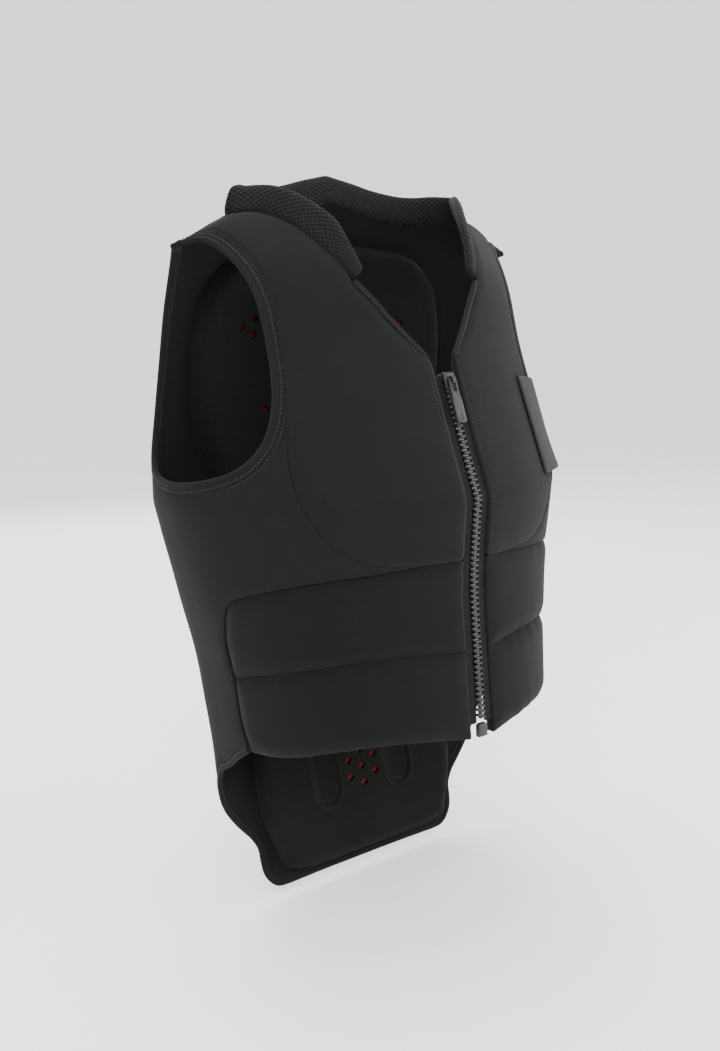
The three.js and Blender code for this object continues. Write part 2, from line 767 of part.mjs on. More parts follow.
function geometryOfSolid(solid) {
  const mesh = solid.getMesh();
  return geometryOf(Array.from(mesh.vertProperties), Array.from(mesh.triVerts));
}

const coverDepth = pinch + backCloth + coreClearance + coreThickness + seamGap;

function backPlace(x, down) {
  const level = levelAt(Math.abs(x), -down * backLength);
  const around = Math.abs(x) < 0.5 ? 2 : aroundAt(Math.abs(x), level, true);
  const { normal } = frameAt(around, level);
  const point = vest(around, level);
  if (x < 0) {
    point.x *= -1;
    normal.x *= -1;
  }
  return { point, normal };
}

// A four-sided prism through the cover, pointing up and across like the printed lattice.
function diamondCutter(x, down) {
  const { point, normal } = backPlace(x, down);
  const prism = new THREE.CylinderGeometry(diamondReach, diamondReach, 3 * coverThickness, 4, 1);
  prism.rotateX(Math.PI / 2);
  const turn = new THREE.Matrix4().lookAt(new THREE.Vector3(), normal, new THREE.Vector3(0, 0, 1));
  const centre = point.addScaledVector(normal, -(coverDepth + coverThickness / 2));
  prism.applyMatrix4(turn);
  prism.translate(centre.x, centre.y, centre.z);
  return solidOf(prism);
}

// The blind groove of one upright channel, with a round lower end.
function channelCutter(side) {
  const rows = 12;
  const ring = (depth) => {
    const grid = [];
    for (let j = 0; j <= rows; j += 1) {
      const share = j / rows;
      const eased = share < 0.25 ? 0.12 * (share / 0.25) : 0.12 + 0.88 * (share - 0.25) / 0.75;
      const down = channelEnd + (channelTop - channelEnd) * eased;
      const rise = Math.min((channelEnd - down) * backLength / (channelWidth / 2), 1);
      const half = channelWidth / 2 * Math.max(Math.sqrt(1 - (1 - rise) ** 2), 0.15);
      grid.push([-half, half].map((offset) => {
        const { point, normal } = backPlace(side * channelOffset + offset, down);
        return point.addScaledVector(normal, -depth);
      }));
    }
    return grid;
  };
  const floor = coverDepth + coverThickness - channelDepth;
  return solidOf(shell(ring(floor), ring(floor + 3 * channelDepth)));
}

function protectorCover(grid) {
  let solid = solidOf(laid([grid], () => coverDepth, () => coverDepth + coverThickness, 0, true));
  for (const group of diamondGroups) {
    for (const column of [-1, 0, 1]) {
      const rows = group.rows - Math.abs(column);
      for (let r = 0; r < rows; r += 1) {
        const rise = (r + Math.abs(column) / 2) * group.rowStep;
        const x = group.across + column * group.columnStep;
        solid = solid.subtract(diamondCutter(x, group.down - rise / backLength));
      }
    }
  }
  for (const side of [-1, 1]) solid = solid.subtract(channelCutter(side));
  const pieces = solid.decompose().sort((a, b) => b.volume() - a.volume());
  return geometryOfSolid(pieces[0]);
}

function armholeBinding() {
  const rings = bandRings(armhole, armholeInner, sideCloth + 2 * bandProud);
  rings.pop();
  return tube(rings, true);
}

function hemBinding() {
  const edge = [...hemLine, ...tailLine.slice(1)];
  const half = spaced(bandRings(edge, hemWhole, backCloth + 2 * bandProud), seamGap);
  for (const corner of half[half.length - 1]) corner.setX(0);
  const other = half.slice(0, -1).reverse().map((ring) => ring.map((p) => p.clone().setX(-p.x)));
  return tube([...half, ...other], false);
}

// The padded band round the neck, from one front end round the nape to the other.
function collar() {
  const steps = 12;
  const front = part(neckWhole, collarFrontEnd, 1);
  const back = sampled(backNeckline, 12);
  const line = resampled(front, 7).concat(resampled(back, steps - 4).slice(1));
  const half = line.map((point, i) => {
    const { normal } = frameAt(point.x, point.y);
    const ahead = line[Math.min(i + 1, line.length - 1)];
    const before = line[Math.max(i - 1, 0)];
    const run = vest(ahead.x, ahead.y).sub(vest(before.x, before.y)).normalize();
    if (i === line.length - 1) run.set(-1, 0, 0);
    const inward = normal.clone().cross(run).normalize();
    const share = i / (line.length - 1);
    const stand = THREE.MathUtils.degToRad(12 + 38 * Math.min(share * 2, 1));
    const rise = inward.clone().multiplyScalar(Math.cos(stand)).addScaledVector(normal, Math.sin(stand));
    const thick = rise.clone().cross(run).normalize();
    const fill = Math.min(0.45 + share * 4, 1);
    const width = collarWidth * fill;
    const centre = vest(point.x, point.y).addScaledVector(normal, -collarThickness / 2 + 0.5)
      .addScaledVector(rise, width / 2 + seamGap + 1.2);
    const ring = [];
    for (let k = 0; k < 8; k += 1) {
      const angle = (k + 0.5) / 8 * Math.PI * 2;
      const round = (value) => Math.sign(value) * Math.abs(value) ** 0.75;
      ring.push(centre.clone().addScaledVector(rise, round(Math.cos(angle)) * width / 2)
        .addScaledVector(thick, round(Math.sin(angle)) * collarThickness / 2 * (0.7 + 0.3 * fill)));
    }
    return ring;
  });
  const other = half.slice(0, -1).reverse().map((ring) => ring.map((p) => p.clone().setX(-p.x)));
  return tube([...half, ...other], false);
}

// The zip's middle line as points at equal spacing down the front.
const zipTopLevel = frontNeckline[0].level - 0.012;
const zipLowLevel = frontHem[0].level;
const zipPoints = [];
for (let i = 0; i <= 120; i += 1) zipPoints.push(vest(0, zipTopLevel + (zipLowLevel - zipTopLevel) * i / 120));
const zipCurve = new THREE.CatmullRomCurve3(zipPoints);
zipCurve.arcLengthDivisions = 2400;
const zipLength = zipCurve.getLength();

function zipPlace(distance) {
  const share = Math.min(Math.max(distance / zipLength, 0), 1);
  const down = zipCurve.getTangentAt(share);
  const normal = new THREE.Vector3(-1, 0, 0).cross(down).normalize();
  return { point: zipCurve.getPointAt(share), down, normal };
}

function zipPoint(x, distance, depth) {
  const { point, normal } = zipPlace(distance);
  return point.addScaledVector(normal, -depth).setX(x);
}

const tapeTop = 2;
const chainTop = sliderLength * 0.35;
const toothGap = 0.35;
const chainEnd = zipLength - boxLength - seamGap;

function zipTape(side) {
  const rings = [];
  const steps = 22;
  for (let i = 0; i <= steps; i += 1) {
    const distance = tapeTop + (chainEnd - tapeTop) * i / steps;
    const [near, far] = [rowOuter + seamGap, zipHalfWidth - seamGap / 2 - 0.4];
    rings.push([[near, 0], [far, 0], [far, 1], [near, 1]].map(([x, layer]) => (
      zipPoint(side * x, distance, tapeRecess + layer * tapeThickness))));
  }
  return tube(rings, false);
}

// One comb of moulded teeth on its spine. Every pitch adds five points across each face:
// outer, root, tip, tip and root.
function zipTeeth(side) {
  const count = Math.floor((chainEnd - chainTop) / toothPitch);
  const tooth = toothPitch / 2 - toothGap;
  const shift = side > 0 ? toothPitch / 2 : 0;
  const positions = [];
  const place = (x, distance) => {
    for (const depth of [tapeRecess - toothHeight * 0.6, tapeRecess + toothHeight * 0.4]) {
      const p = zipPoint(side * x, distance, depth);
      positions.push(p.x, p.y, p.z);
    }
    return positions.length / 3 - 2;
  };
  const triangles = [];
  const face = (...corners) => {
    for (let i = 1; i < corners.length - 1; i += 1) {
      triangles.push(corners[0], corners[i], corners[i + 1]);
      triangles.push(corners[0] + 1, corners[i + 1] + 1, corners[i] + 1);
    }
  };
  const wall = (a, b) => triangles.push(b, a, a + 1, b, a + 1, b + 1);
  let before = null;
  for (let i = 0; i < count; i += 1) {
    const start = chainTop + i * toothPitch + shift;
    const outer = place(rowOuter, start);
    const root = place(rowInner, start);
    const tips = [place(-toothReach, start + 0.15 * tooth), place(-toothReach, start + 0.85 * tooth)];
    const end = place(rowInner, start + tooth);
    face(root, tips[0], tips[1], end);
    wall(root, tips[0]);
    wall(tips[0], tips[1]);
    wall(tips[1], end);
    if (before) {
      face(before.outer, before.root, before.end, root, outer);
      wall(before.end, root);
      wall(outer, before.outer);
    } else wall(outer, root);
    before = { outer, root, end };
  }
  const finish = place(rowOuter, chainTop + (count - 1) * toothPitch + shift + tooth);
  face(before.outer, before.root, before.end, finish);
  wall(before.end, finish);
  wall(finish, before.outer);
  return outward(geometryOf(positions, triangles));
}

// Lengthwise profile in the zip's own frame: first value runs up the zip, second outwards.
function plateFrom(points, width) {
  const shape = new THREE.Shape(points.map(([up, out]) => new THREE.Vector2(up, out)));
  const geometry = new THREE.ExtrudeGeometry(shape, { depth: width, bevelEnabled: false });
  geometry.translate(0, 0, -width / 2);
  return geometry;
}

// Stands a lengthwise profile up: its run along Z, its outward side towards -Y.
function standUp(geometry) {
  const turn = new THREE.Matrix4().makeBasis(
    new THREE.Vector3(0, 0, 1), new THREE.Vector3(0, -1, 0), new THREE.Vector3(1, 0, 0));
  return geometry.applyMatrix4(turn);
}

const chainFace = -(tapeRecess - toothHeight * 0.6);
const plateLow = chainFace + sliderClearance;
const plateTop = plateLow + plateThickness;
const backFace = -(tapeRecess + toothHeight * 0.4) - sliderClearance;
const barHeight = plateTop + barClearance + barRadius;
const bailInner = barRadius + barClearance;

function slider() {
  const [low, high] = [-sliderLength / 2, sliderLength / 2];
  const throat = high - 4;
  const plates = [
    [[low, plateLow], [high, plateLow], [high - 1.5, plateTop], [low + 1, plateTop]],
    [[low, backFace - plateThickness], [high, backFace - plateThickness], [high, backFace], [low, backFace]],
  ].map((outline) => solidOf(standUp(plateFrom(outline, sliderWidth))));
  const post = solidOf(standUp(plateFrom([
    [throat, backFace - 0.5], [high - 0.5, backFace - 0.5], [high - 0.5, plateLow + 0.5], [throat, plateLow + 0.5],
  ], postWidth)));
  const reach = bailInner + bailThickness;
  const arch = [];
  const steps = 6;
  for (let i = 0; i <= steps; i += 1) {
    const angle = Math.PI * i / steps;
    arch.push([reach * Math.cos(angle), barHeight + reach * Math.sin(angle)]);
  }
  const outside = [[reach, plateTop - 0.5], ...arch, [-reach, plateTop - 0.5]];
  const opening = [[bailInner, plateTop - 0.5]];
  for (let i = 0; i <= steps; i += 1) {
    const angle = Math.PI * i / steps;
    opening.push([bailInner * Math.cos(angle), barHeight + bailInner * Math.sin(angle)]);
  }
  opening.push([-bailInner, plateTop - 0.5]);
  const ring = [...outside, ...opening.reverse()];
  const bail = standUp(plateFrom(ring, bailWidth));
  return geometryOfSolid(plates[0].add(plates[1]).add(post).add(solidOf(bail)));
}

// The pull hangs from its bar at the local origin, down along -Z.
function pull() {
  const halfTop = pullTopWidth / 2;
  const halfEnd = pullEndWidth / 2;
  const end = barHalfHeight - pullLength;
  const shape = new THREE.Shape([
    [-halfTop + 0.8, barHalfHeight], [-halfTop, barHalfHeight - 0.8], [-halfTop, end * 0.35],
    [-halfEnd, end * 0.5], [-halfEnd, end + 1], [-halfEnd + 1, end], [halfEnd - 1, end],
    [halfEnd, end + 1], [halfEnd, end * 0.5], [halfTop, end * 0.35],
    [halfTop, barHalfHeight - 0.8], [halfTop - 0.8, barHalfHeight],
  ].map(([x, z]) => new THREE.Vector2(x, z)));
  const holeHalf = bailWidth / 2 + barClearance;
  const low = -barHalfHeight - pullHoleLength;
  shape.holes.push(new THREE.Path([
    [-holeHalf, -barHalfHeight], [holeHalf, -barHalfHeight], [holeHalf, low + 0.8],
    [holeHalf - 0.8, low], [-holeHalf + 0.8, low], [-holeHalf, low + 0.8],
  ].map(([x, z]) => new THREE.Vector2(x, z))));
  const plate = new THREE.ExtrudeGeometry(shape, { depth: pullThickness, bevelEnabled: false });
  plate.translate(0, 0, -pullThickness / 2);
  plate.rotateX(Math.PI / 2);
  const recess = new THREE.BoxGeometry(4, 0.8, 4);
  recess.translate(0, -pullThickness / 2, end + 5);
  return geometryOfSolid(solidOf(plate).subtract(solidOf(recess)));
}

function bottomBox() {
  const shape = new THREE.Shape([
    [-boxWidth / 2, 0], [boxWidth / 2, 0], [boxWidth / 2, boxLength - 1.5],
    [boxWidth / 2 - 1.5, boxLength], [-boxWidth / 2 + 1.5, boxLength], [-boxWidth / 2, boxLength - 1.5],
  ].map(([x, z]) => new THREE.Vector2(x, z)));
  const box = new THREE.ExtrudeGeometry(shape, { depth: toothHeight + 1.2, bevelEnabled: false });
  box.rotateX(Math.PI / 2);
  return mergedClean(box);
}

function mergedClean(geometry) {
  const bare = geometry.clone();
  bare.deleteAttribute('normal');
  bare.deleteAttribute('uv');
  return outward(mergeVertices(bare, 1e-4));
}

// The plain patch on the left chest, its lower outer corner standing a little proud.
function chestPatch() {
  const grid = [];
  for (let j = 0; j <= 5; j += 1) {
    const row = [];
    for (let i = 0; i <= 3; i += 1) row.push(new THREE.Vector2(0.375 + 0.05 * i, 0.02 + 0.27 * j / 5));
    grid.push(row);
  }
  const lift = (u, v) => patchLift * u * Math.max(0, 1 - 2 * v) ** 2;
  return laid([grid], (u, v) => -patchGap - patchThickness - lift(u, v), (u, v) => -patchGap - lift(u, v), 0);
}

const chest = chestPanel();
const sidePiece = sidePanel();
const padUpper = bellyPad([...bellyWedge, ...bellyRun.slice(1)], padSideUpper, padMiddle);
const padLower = bellyPad(padMiddle, padSideLower, hemFront);
const armBand = armholeBinding();
const neckRings = bandRings(vNeck, neckEdge, sideCloth);
const neckPiece = tube(neckRings, false);
for (const [name, geometry, material] of [
  ['chest_panel', chest, softshell],
  ['side_panel', sidePiece, softshell],
  ['belly_pad_upper', padUpper, padCloth],
  ['belly_pad_lower', padLower, padCloth],
  ['armhole_binding', armBand, binding],
  ['neck_binding', neckPiece, binding],
]) {
  add(`${name}_left`, geometry, material);
  add(`${name}_right`, mirrored(geometry), material);
}
add('back_panel', backPanel(), softshell);
const halfGrid = protectorGrid();
const coreDepth = pinch + backCloth + coreClearance;
add('protector_core', laid([halfGrid], () => coreDepth, () => coreDepth + coreThickness, 0, true), redFoam);
add('protector_cover', protectorCover(halfGrid), lining);
add('collar_band', collar(), spacerMesh);
add('hem_binding', hemBinding(), binding);
add('zip_tape_left', zipTape(1), tapeCloth);
add('zip_tape_right', zipTape(-1), tapeCloth);
add('zip_teeth_left', zipTeeth(1), mouldedPlastic);
add('zip_teeth_right', zipTeeth(-1), mouldedPlastic);
add('chest_patch', chestPatch(), patchRubber);

// The slider and its pull stand in a frame turned along the zip's top.
const sliderPlace = zipPlace(sliderLength / 2);
const sliderFrame = new THREE.Group();
sliderFrame.position.copy(sliderPlace.point);
sliderFrame.rotation.x = Math.atan2(sliderPlace.down.y, -sliderPlace.down.z);
nodes.add(sliderFrame);
add('zip_slider', slider(), mouldedPlastic, sliderFrame);
const pullMesh = add('zip_pull', pull(), mouldedPlastic, sliderFrame);
pullMesh.position.y = -barHeight;

const boxPlace = zipPlace(zipLength);
const boxFrame = new THREE.Group();
boxFrame.position.copy(boxPlace.point.addScaledVector(boxPlace.normal, -(tapeRecess + toothHeight * 0.5)));
boxFrame.rotation.x = Math.atan2(boxPlace.down.y, -boxPlace.down.z);
nodes.add(boxFrame);
add('zip_bottom_box', bottomBox(), mouldedPlastic, boxFrame);

export default nodes;
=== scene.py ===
"""A zip-front riding body protector: padded cloth panels, a spacer-mesh neck band, a moulded zip,
and the foam back protector that shows inside. Tables are in millimetres, the scene in metres."""
import math

import bmesh
import bpy
import numpy as np
from mathutils import Matrix, Vector, noise
from mathutils.kdtree import KDTree


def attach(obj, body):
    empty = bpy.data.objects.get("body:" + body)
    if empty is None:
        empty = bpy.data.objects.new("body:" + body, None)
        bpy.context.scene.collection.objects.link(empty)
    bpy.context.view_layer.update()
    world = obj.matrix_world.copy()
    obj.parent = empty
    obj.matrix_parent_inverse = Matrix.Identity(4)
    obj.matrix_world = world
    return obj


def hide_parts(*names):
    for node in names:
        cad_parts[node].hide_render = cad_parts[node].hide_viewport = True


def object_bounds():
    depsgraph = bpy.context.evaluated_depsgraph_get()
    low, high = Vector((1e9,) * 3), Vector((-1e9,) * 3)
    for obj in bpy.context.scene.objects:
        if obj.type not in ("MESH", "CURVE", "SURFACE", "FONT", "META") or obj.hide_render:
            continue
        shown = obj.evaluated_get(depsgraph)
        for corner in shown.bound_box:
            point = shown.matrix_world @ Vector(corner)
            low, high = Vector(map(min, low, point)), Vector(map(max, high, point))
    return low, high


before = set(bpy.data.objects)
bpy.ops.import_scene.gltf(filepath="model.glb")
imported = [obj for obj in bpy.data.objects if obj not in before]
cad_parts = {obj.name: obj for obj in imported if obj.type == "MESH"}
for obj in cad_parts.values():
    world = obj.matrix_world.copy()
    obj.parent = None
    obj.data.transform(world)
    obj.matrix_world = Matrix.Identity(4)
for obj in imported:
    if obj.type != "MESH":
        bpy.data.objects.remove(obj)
cad_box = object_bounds()
bpy.ops.object.select_all(action="DESELECT")

# The vest's cut
BACK_LENGTH, ARMPIT_DROP = 552, 195
CHEST_HALF_WIDTH, FRONT_DEPTH, BACK_DEPTH = 193, 149, 80
NECK_HALF_WIDTH, SHOULDER_HALF_WIDTH = 126, 177
NECK_POINT_HEIGHT, SHOULDER_TIP_HEIGHT, NAPE_RISE = 30, 4, 45
TAIL_HALF_WIDTH, ARCH_HALF_WIDTH, PROTECTOR_HALF_WIDTH = 126, 205, 136

# Cloth, foam and trim
SEAM_GAP = 0.1
CHEST_PINCH, BELLY_PINCH = 2.2, 4
SEAM_ROLL, BELLY_ROLL = 9, 14
CHEST_EDGE, CHEST_FOAM, STRAP_THINNING = 5, 13.5, 0.35
BELLY_EDGE, BELLY_FOAM = 6, 15
SIDE_CLOTH, BACK_CLOTH, PINCH = 3.4, 3, 1.4
ARMHOLE_BAND, HEM_BAND, NECK_BAND = 9, 6, 5
CORE_DEPTH, CORE_THICKNESS = 6.1, 12
COVER_DEPTH, COVER_THICKNESS = 18.5, 4.5
CHANNEL_OFFSET, CHANNEL_WIDTH, CHANNEL_DEPTH = 41, 30, 2.6
CHANNEL_TOP, CHANNEL_END = 0.36, 0.893
DIAMOND_REACH = 4.3
COLLAR_WIDTH, COLLAR_THICKNESS, COLLAR_START = 23, 8.5, 0.42

# Zip
ZIP_HALF_WIDTH, TAPE_RECESS = 12, 3.4
TOOTH_PITCH, TOOTH_HEIGHT, TOOTH_REACH, ROW_OUTER = 4.4, 3, 1.5, 3.9
SLIDER_LENGTH, BOX_LENGTH = 15, 11

# Faces in the coarse grids, as in the solids, and how much finer the cloth is laid
ARMHOLE_FACES, CHEST_COLUMNS, ZIP_ROWS, V_NECK_ROWS = 32, 8, 4, 3
SIDE_ROWS, BELLY_ROWS, BACK_SEAM_ROWS, CORE_COLUMNS, CORE_ROWS = 6, 4, 7, 6, 10
CHEST_JOINT, UNDERARM_JOINT, SIDE_JOINT = 11, 14, 22
# level, width, front, back, front roundness, back roundness
SECTIONS = [
    (-1, 0.74, 0.906, 0.25, 2.2, 3.3), (-0.79, 0.785, 0.953, 0.42, 2.2, 4.2),
    (-0.58, 0.795, 1.007, 0.66, 2.2, 4), (-0.367, 0.839, 0.98, 0.9, 2.1, 3.3),
    (-0.185, 0.922, 0.96, 0.975, 1.95, 3), (0, 1, 1, 1, 1.85, 3),
]
# level, rise, depth
FRONT_ARCH = [
    (0, 0, 1), (0.2, 0.25, 0.83), (0.4, 0.5, 0.68), (0.6, 0.72, 0.58), (0.75, 0.86, 0.42),
    (0.9, 0.965, 0.2), (1, 1, 0),
]
# level, rise, depth
BACK_ARCH = [
    (0, 0, 1), (0.2, 0.25, 1), (0.4, 0.5, 0.96), (0.6, 0.72, 0.82), (0.75, 0.86, 0.58),
    (0.9, 0.965, 0.26), (1, 1, 0),
]
# around, level
ARMHOLE_EDGE = [
    (0.863, 1), (0.76, 0.905), (0.665, 0.74), (0.59, 0.56), (0.552, 0.38), (0.556, 0.26),
    (0.6, 0.17), (0.68, 0.117), (0.79, 0.092), (0.93, 0.085), (1.06, 0.105), (1.17, 0.155),
    (1.235, 0.24), (1.25, 0.38), (1.225, 0.56), (1.19, 0.76), (1.16, 0.91), (1.137, 1),
]
# around, level
FRONT_NECKLINE = [
    (0, 0.297), (0.055, 0.33), (0.115, 0.388), (0.19, 0.475), (0.265, 0.56), (0.35, 0.68),
    (0.44, 0.82), (0.53, 0.925), (0.615, 1),
]
# around, level
BACK_NECKLINE = [
    (1.385, 1), (1.49, 0.92), (1.63, 0.845), (1.8, 0.808), (2, 0.8),
]
# around, level
CHEST_SEAM = [
    (0.05, -0.133), (0.17, -0.133), (0.29, -0.131), (0.35, -0.12), (0.41, -0.097), (0.45, -0.07),
    (0.485, -0.035), (0.507, 0.01), (0.522, 0.07),
]
# around, level
BELLY_SEAM = [
    (0.05, -0.14), (0.17, -0.14), (0.29, -0.143), (0.4, -0.15), (0.5, -0.157), (0.6, -0.169),
    (0.7, -0.184), (0.78, -0.2), (0.83, -0.222), (0.86, -0.26),
]
# around, level
PAD_SIDE = [
    (0.86, -0.26), (0.885, -0.3), (0.897, -0.34), (0.893, -0.392), (0.9, -0.45), (0.9, -0.51),
    (0.875, -0.566),
]
# around, level
PAD_SEAM = [
    (0.05, -0.342), (0.23, -0.331), (0.41, -0.337), (0.54, -0.348), (0.68, -0.363), (0.79, -0.379),
    (0.893, -0.392),
]
# around, level
FRONT_HEM = [
    (0.05, -0.542), (0.15, -0.53), (0.28, -0.523), (0.41, -0.526), (0.54, -0.538), (0.68, -0.556),
    (0.79, -0.565), (0.875, -0.566),
]
# around, level
SIDE_HEM = [
    (0.875, -0.566), (0.93, -0.59), (1.01, -0.638), (1.1, -0.688), (1.2, -0.732), (1.31, -0.768),
    (1.41, -0.8),
]
# across, down
TAIL_HEM = [
    (0.972, 0.9), (0.925, 0.914), (0.892, 0.93), (0.887, 0.95), (0.868, 0.973), (0.8, 0.993),
    (0.7, 1), (0.35, 1), (0, 1),
]
# across, down
PROTECTOR_OUTLINE = [
    (0, -0.025), (0.42, -0.022), (0.72, -0.008), (0.9, 0.035), (0.985, 0.1), (1, 0.19),
    (0.94, 0.27), (0.82, 0.345), (0.74, 0.43), (0.72, 0.56), (0.745, 0.69), (0.79, 0.8),
    (0.775, 0.88), (0.715, 0.94), (0.66, 0.968), (0.5, 0.977), (0, 0.977),
]
# across, down, rows, column step, row step
DIAMOND_GROUPS = [
    (0, 0.872, 5, 14.5, 14.5), (50.5, 0.246, 2, 12.5, 14.5), (-50.5, 0.246, 2, 12.5, 14.5),
    (76, 0.112, 2, 14, 14.5), (-76, 0.112, 2, 14, 14.5),
]


def follow(table, column, level):
    """Catmull-Rom through one column of a table over its first column."""
    rows = np.asarray(table, float)
    knots, values = rows[:, 0], rows[:, column]
    last = len(knots) - 1
    x = np.clip(level, knots[0], knots[last])
    i = np.searchsorted(knots[1:last], x, side="left")
    low, high = np.maximum(np.arange(last + 1) - 1, 0), np.minimum(np.arange(last + 1) + 1, last)
    slopes = (values[high] - values[low]) / (knots[high] - knots[low])
    h = knots[i + 1] - knots[i]
    t = (x - knots[i]) / h
    ends = (2 * t**3 - 3 * t**2 + 1) * values[i] + (3 * t**2 - 2 * t**3) * values[i + 1]
    return ends + (t**3 - 2 * t**2 + t) * h * slopes[i] + (t**3 - t**2) * h * slopes[i + 1]


def vest(around, level):
    """Points on the outer surface of the wearer's left half: around runs 0 front to 2 back."""
    around, level = np.broadcast_arrays(np.asarray(around, float), np.asarray(level, float))
    is_front = around <= 1
    share = np.where(is_front, around, 2 - around)
    row = np.minimum(level, 0)
    power = 2 / np.where(is_front, follow(SECTIONS, 4, row), follow(SECTIONS, 5, row))
    front = -FRONT_DEPTH * follow(SECTIONS, 2, row)
    reach = np.where(is_front, front, BACK_DEPTH * follow(SECTIONS, 3, row))
    angle = share * math.pi / 2
    x = CHEST_HALF_WIDTH * follow(SECTIONS, 1, row) * np.abs(np.sin(angle)) ** power
    y = reach * np.abs(np.cos(angle)) ** power
    z = -ARMPIT_DROP + level * (BACK_LENGTH - ARMPIT_DROP)
    rise = np.where(is_front, follow(FRONT_ARCH, 1, level), follow(BACK_ARCH, 1, level))
    depth = np.where(is_front, follow(FRONT_ARCH, 2, level), follow(BACK_ARCH, 2, level))
    ridge_x = ARCH_HALF_WIDTH * share
    fall = (SHOULDER_TIP_HEIGHT - NECK_POINT_HEIGHT) / (SHOULDER_HALF_WIDTH - NECK_HALF_WIDTH)
    nape = NECK_POINT_HEIGHT + NAPE_RISE * (1 - ridge_x / NECK_HALF_WIDTH)
    strap = NECK_POINT_HEIGHT + fall * (ridge_x - NECK_HALF_WIDTH)
    ridge = np.where(ridge_x < NECK_HALF_WIDTH, nape, strap)
    is_over = level > 0
    rise = np.maximum(rise, 0)
    x = np.where(is_over, x + (ridge_x - x) * rise**1.5, x)
    y = np.where(is_over, y * depth, y)
    z = np.where(is_over, -ARMPIT_DROP + (ridge + ARMPIT_DROP) * rise, z)
    return np.stack([x, y, z], -1)


def unit(vectors):
    return vectors / np.maximum(np.linalg.norm(vectors, axis=-1, keepdims=True), 1e-9)


def frame_at(around, level):
    """How the surface runs: along around, along level, and its outward normal."""
    around, level = np.broadcast_arrays(np.asarray(around, float), np.asarray(level, float))
    step = 0.004
    is_back = around > 1
    a0 = np.maximum(around - step, np.where(is_back, 1, 0))
    a1 = np.minimum(around + step, np.where(is_back, 2, 1))
    l0, l1 = np.maximum(level - step, -1), np.minimum(level + step, 1)
    across = (vest(a1, level) - vest(a0, level)) / (a1 - a0)[..., None]
    up = (vest(around, l1) - vest(around, l0)) / (l1 - l0)[..., None]
    over = np.stack([around * 0, np.where(is_back, -1.0, 1.0), around * 0], -1)
    normal = unit(np.cross(across, np.where((level > 0.985)[..., None], over, up)))
    on_middle = (around < 0.02) | (around > 1.98)
    normal[..., 0] = np.where(on_middle, 0, normal[..., 0])
    return across, up, unit(normal)


def spline(points, shares):
    """Uniform Catmull-Rom through points, at shares of its run."""
    p = np.asarray(points, float)
    last = len(p) - 1
    s = np.clip(shares, 0, 1) * last
    i = np.minimum(s.astype(int), last - 1)
    w = (s - i)[:, None]
    a, b, c, d = p[np.maximum(i - 1, 0)], p[i], p[i + 1], p[np.minimum(i + 2, last)]
    v0, v1 = (c - a) / 2, (d - b) / 2
    return (2 * b - 2 * c + v0 + v1) * w**3 + (3 * c - 3 * b - 2 * v0 - v1) * w**2 + v0 * w + b


def evenly(points, count, start=0.0, end=1.0):
    """A polyline's points at equal spacing between two shares of its length."""
    p = np.asarray(points, float)
    run = np.concatenate([[0], np.cumsum(np.linalg.norm(np.diff(p, axis=0), axis=1))])
    at = np.linspace(start, end, count + 1) * run[-1]
    return np.stack([np.interp(at, run, p[:, k]) for k in range(p.shape[1])], -1)


def sampled(table, count):
    t = np.linspace(0, 1, 201)
    p = spline(table, t)
    run = np.concatenate([[0], np.cumsum(np.linalg.norm(np.diff(p, axis=0), axis=1))])
    return spline(table, np.interp(np.linspace(0, run[-1], count + 1), run, t))


def finer(points, times):
    return spline(points, np.linspace(0, 1, (len(points) - 1) * times + 1))


def finer_grid(grid, times_across, times_up):
    rows = np.stack([finer(row, times_across) for row in grid])
    return np.stack([finer(rows[:, i], times_up) for i in range(rows.shape[1])], 1)


def fitted(grid, left=None, right=None, bottom=None, top=None):
    """Moves a fine grid's edges onto the lines shared with its neighbours, and its inside with them."""
    none = np.zeros_like
    sides = [none(grid[:, 0]) if left is None else left - grid[:, 0],
             none(grid[:, 0]) if right is None else right - grid[:, -1],
             none(grid[0]) if bottom is None else bottom - grid[0],
             none(grid[0]) if top is None else top - grid[-1]]
    return grid + coons(*sides)


def shifted(points, distance):
    """A line of (around, level) pairs moved sideways over the surface, to its left if positive."""
    p = np.asarray(points, float)
    across, up, normal = frame_at(p[:, 0], p[:, 1])
    spots = vest(p[:, 0], p[:, 1])
    steps = unit(np.diff(spots, axis=0))
    run = unit(np.concatenate([steps[:1], steps]) + np.concatenate([steps, steps[-1:]]))
    side = np.cross(normal, run) * distance
    dot = lambda a, b: (a * b).sum(-1)
    aa, uu, au = dot(across, across), dot(up, up), dot(across, up)
    a, u = dot(side, across), dot(side, up)
    det = aa * uu - au * au
    det = np.where(np.abs(det) < 1e-6, 1e-6, det)
    around = np.clip(p[:, 0] + (a * uu - u * au) / det, 0, 2)
    level = np.minimum(p[:, 1] + (u * aa - a * au) / det, 0.98)
    on_ridge = p[:, 1] > 0.999
    along = p[:, 0] + np.sign(dot(side, across)) * abs(distance) / np.sqrt(aa)
    return np.stack([np.where(on_ridge, along, around), np.where(on_ridge, 1, level)], -1)


def coons(left, right, bottom, top, relax=0):
    """Fills the space between four edges that meet at their ends."""
    left, right, bottom, top = (np.asarray(edge, float) for edge in (left, right, bottom, top))
    v = np.linspace(0, 1, len(left))[:, None, None]
    u = np.linspace(0, 1, len(bottom))[None, :, None]
    sides = left[:, None] * (1 - u) + right[:, None] * u
    ends = bottom[None] * (1 - v) + top[None] * v
    low = bottom[0] * (1 - u) + bottom[-1] * u
    grid = sides + ends - low * (1 - v) - (top[0] * (1 - u) + top[-1] * u) * v
    for _ in range(relax):
        for j in range(1, grid.shape[0] - 1):
            for i in range(1, grid.shape[1] - 1):
                grid[j, i] = (grid[j, i - 1] + grid[j, i + 1] + grid[j - 1, i] + grid[j + 1, i]) / 4
    return grid


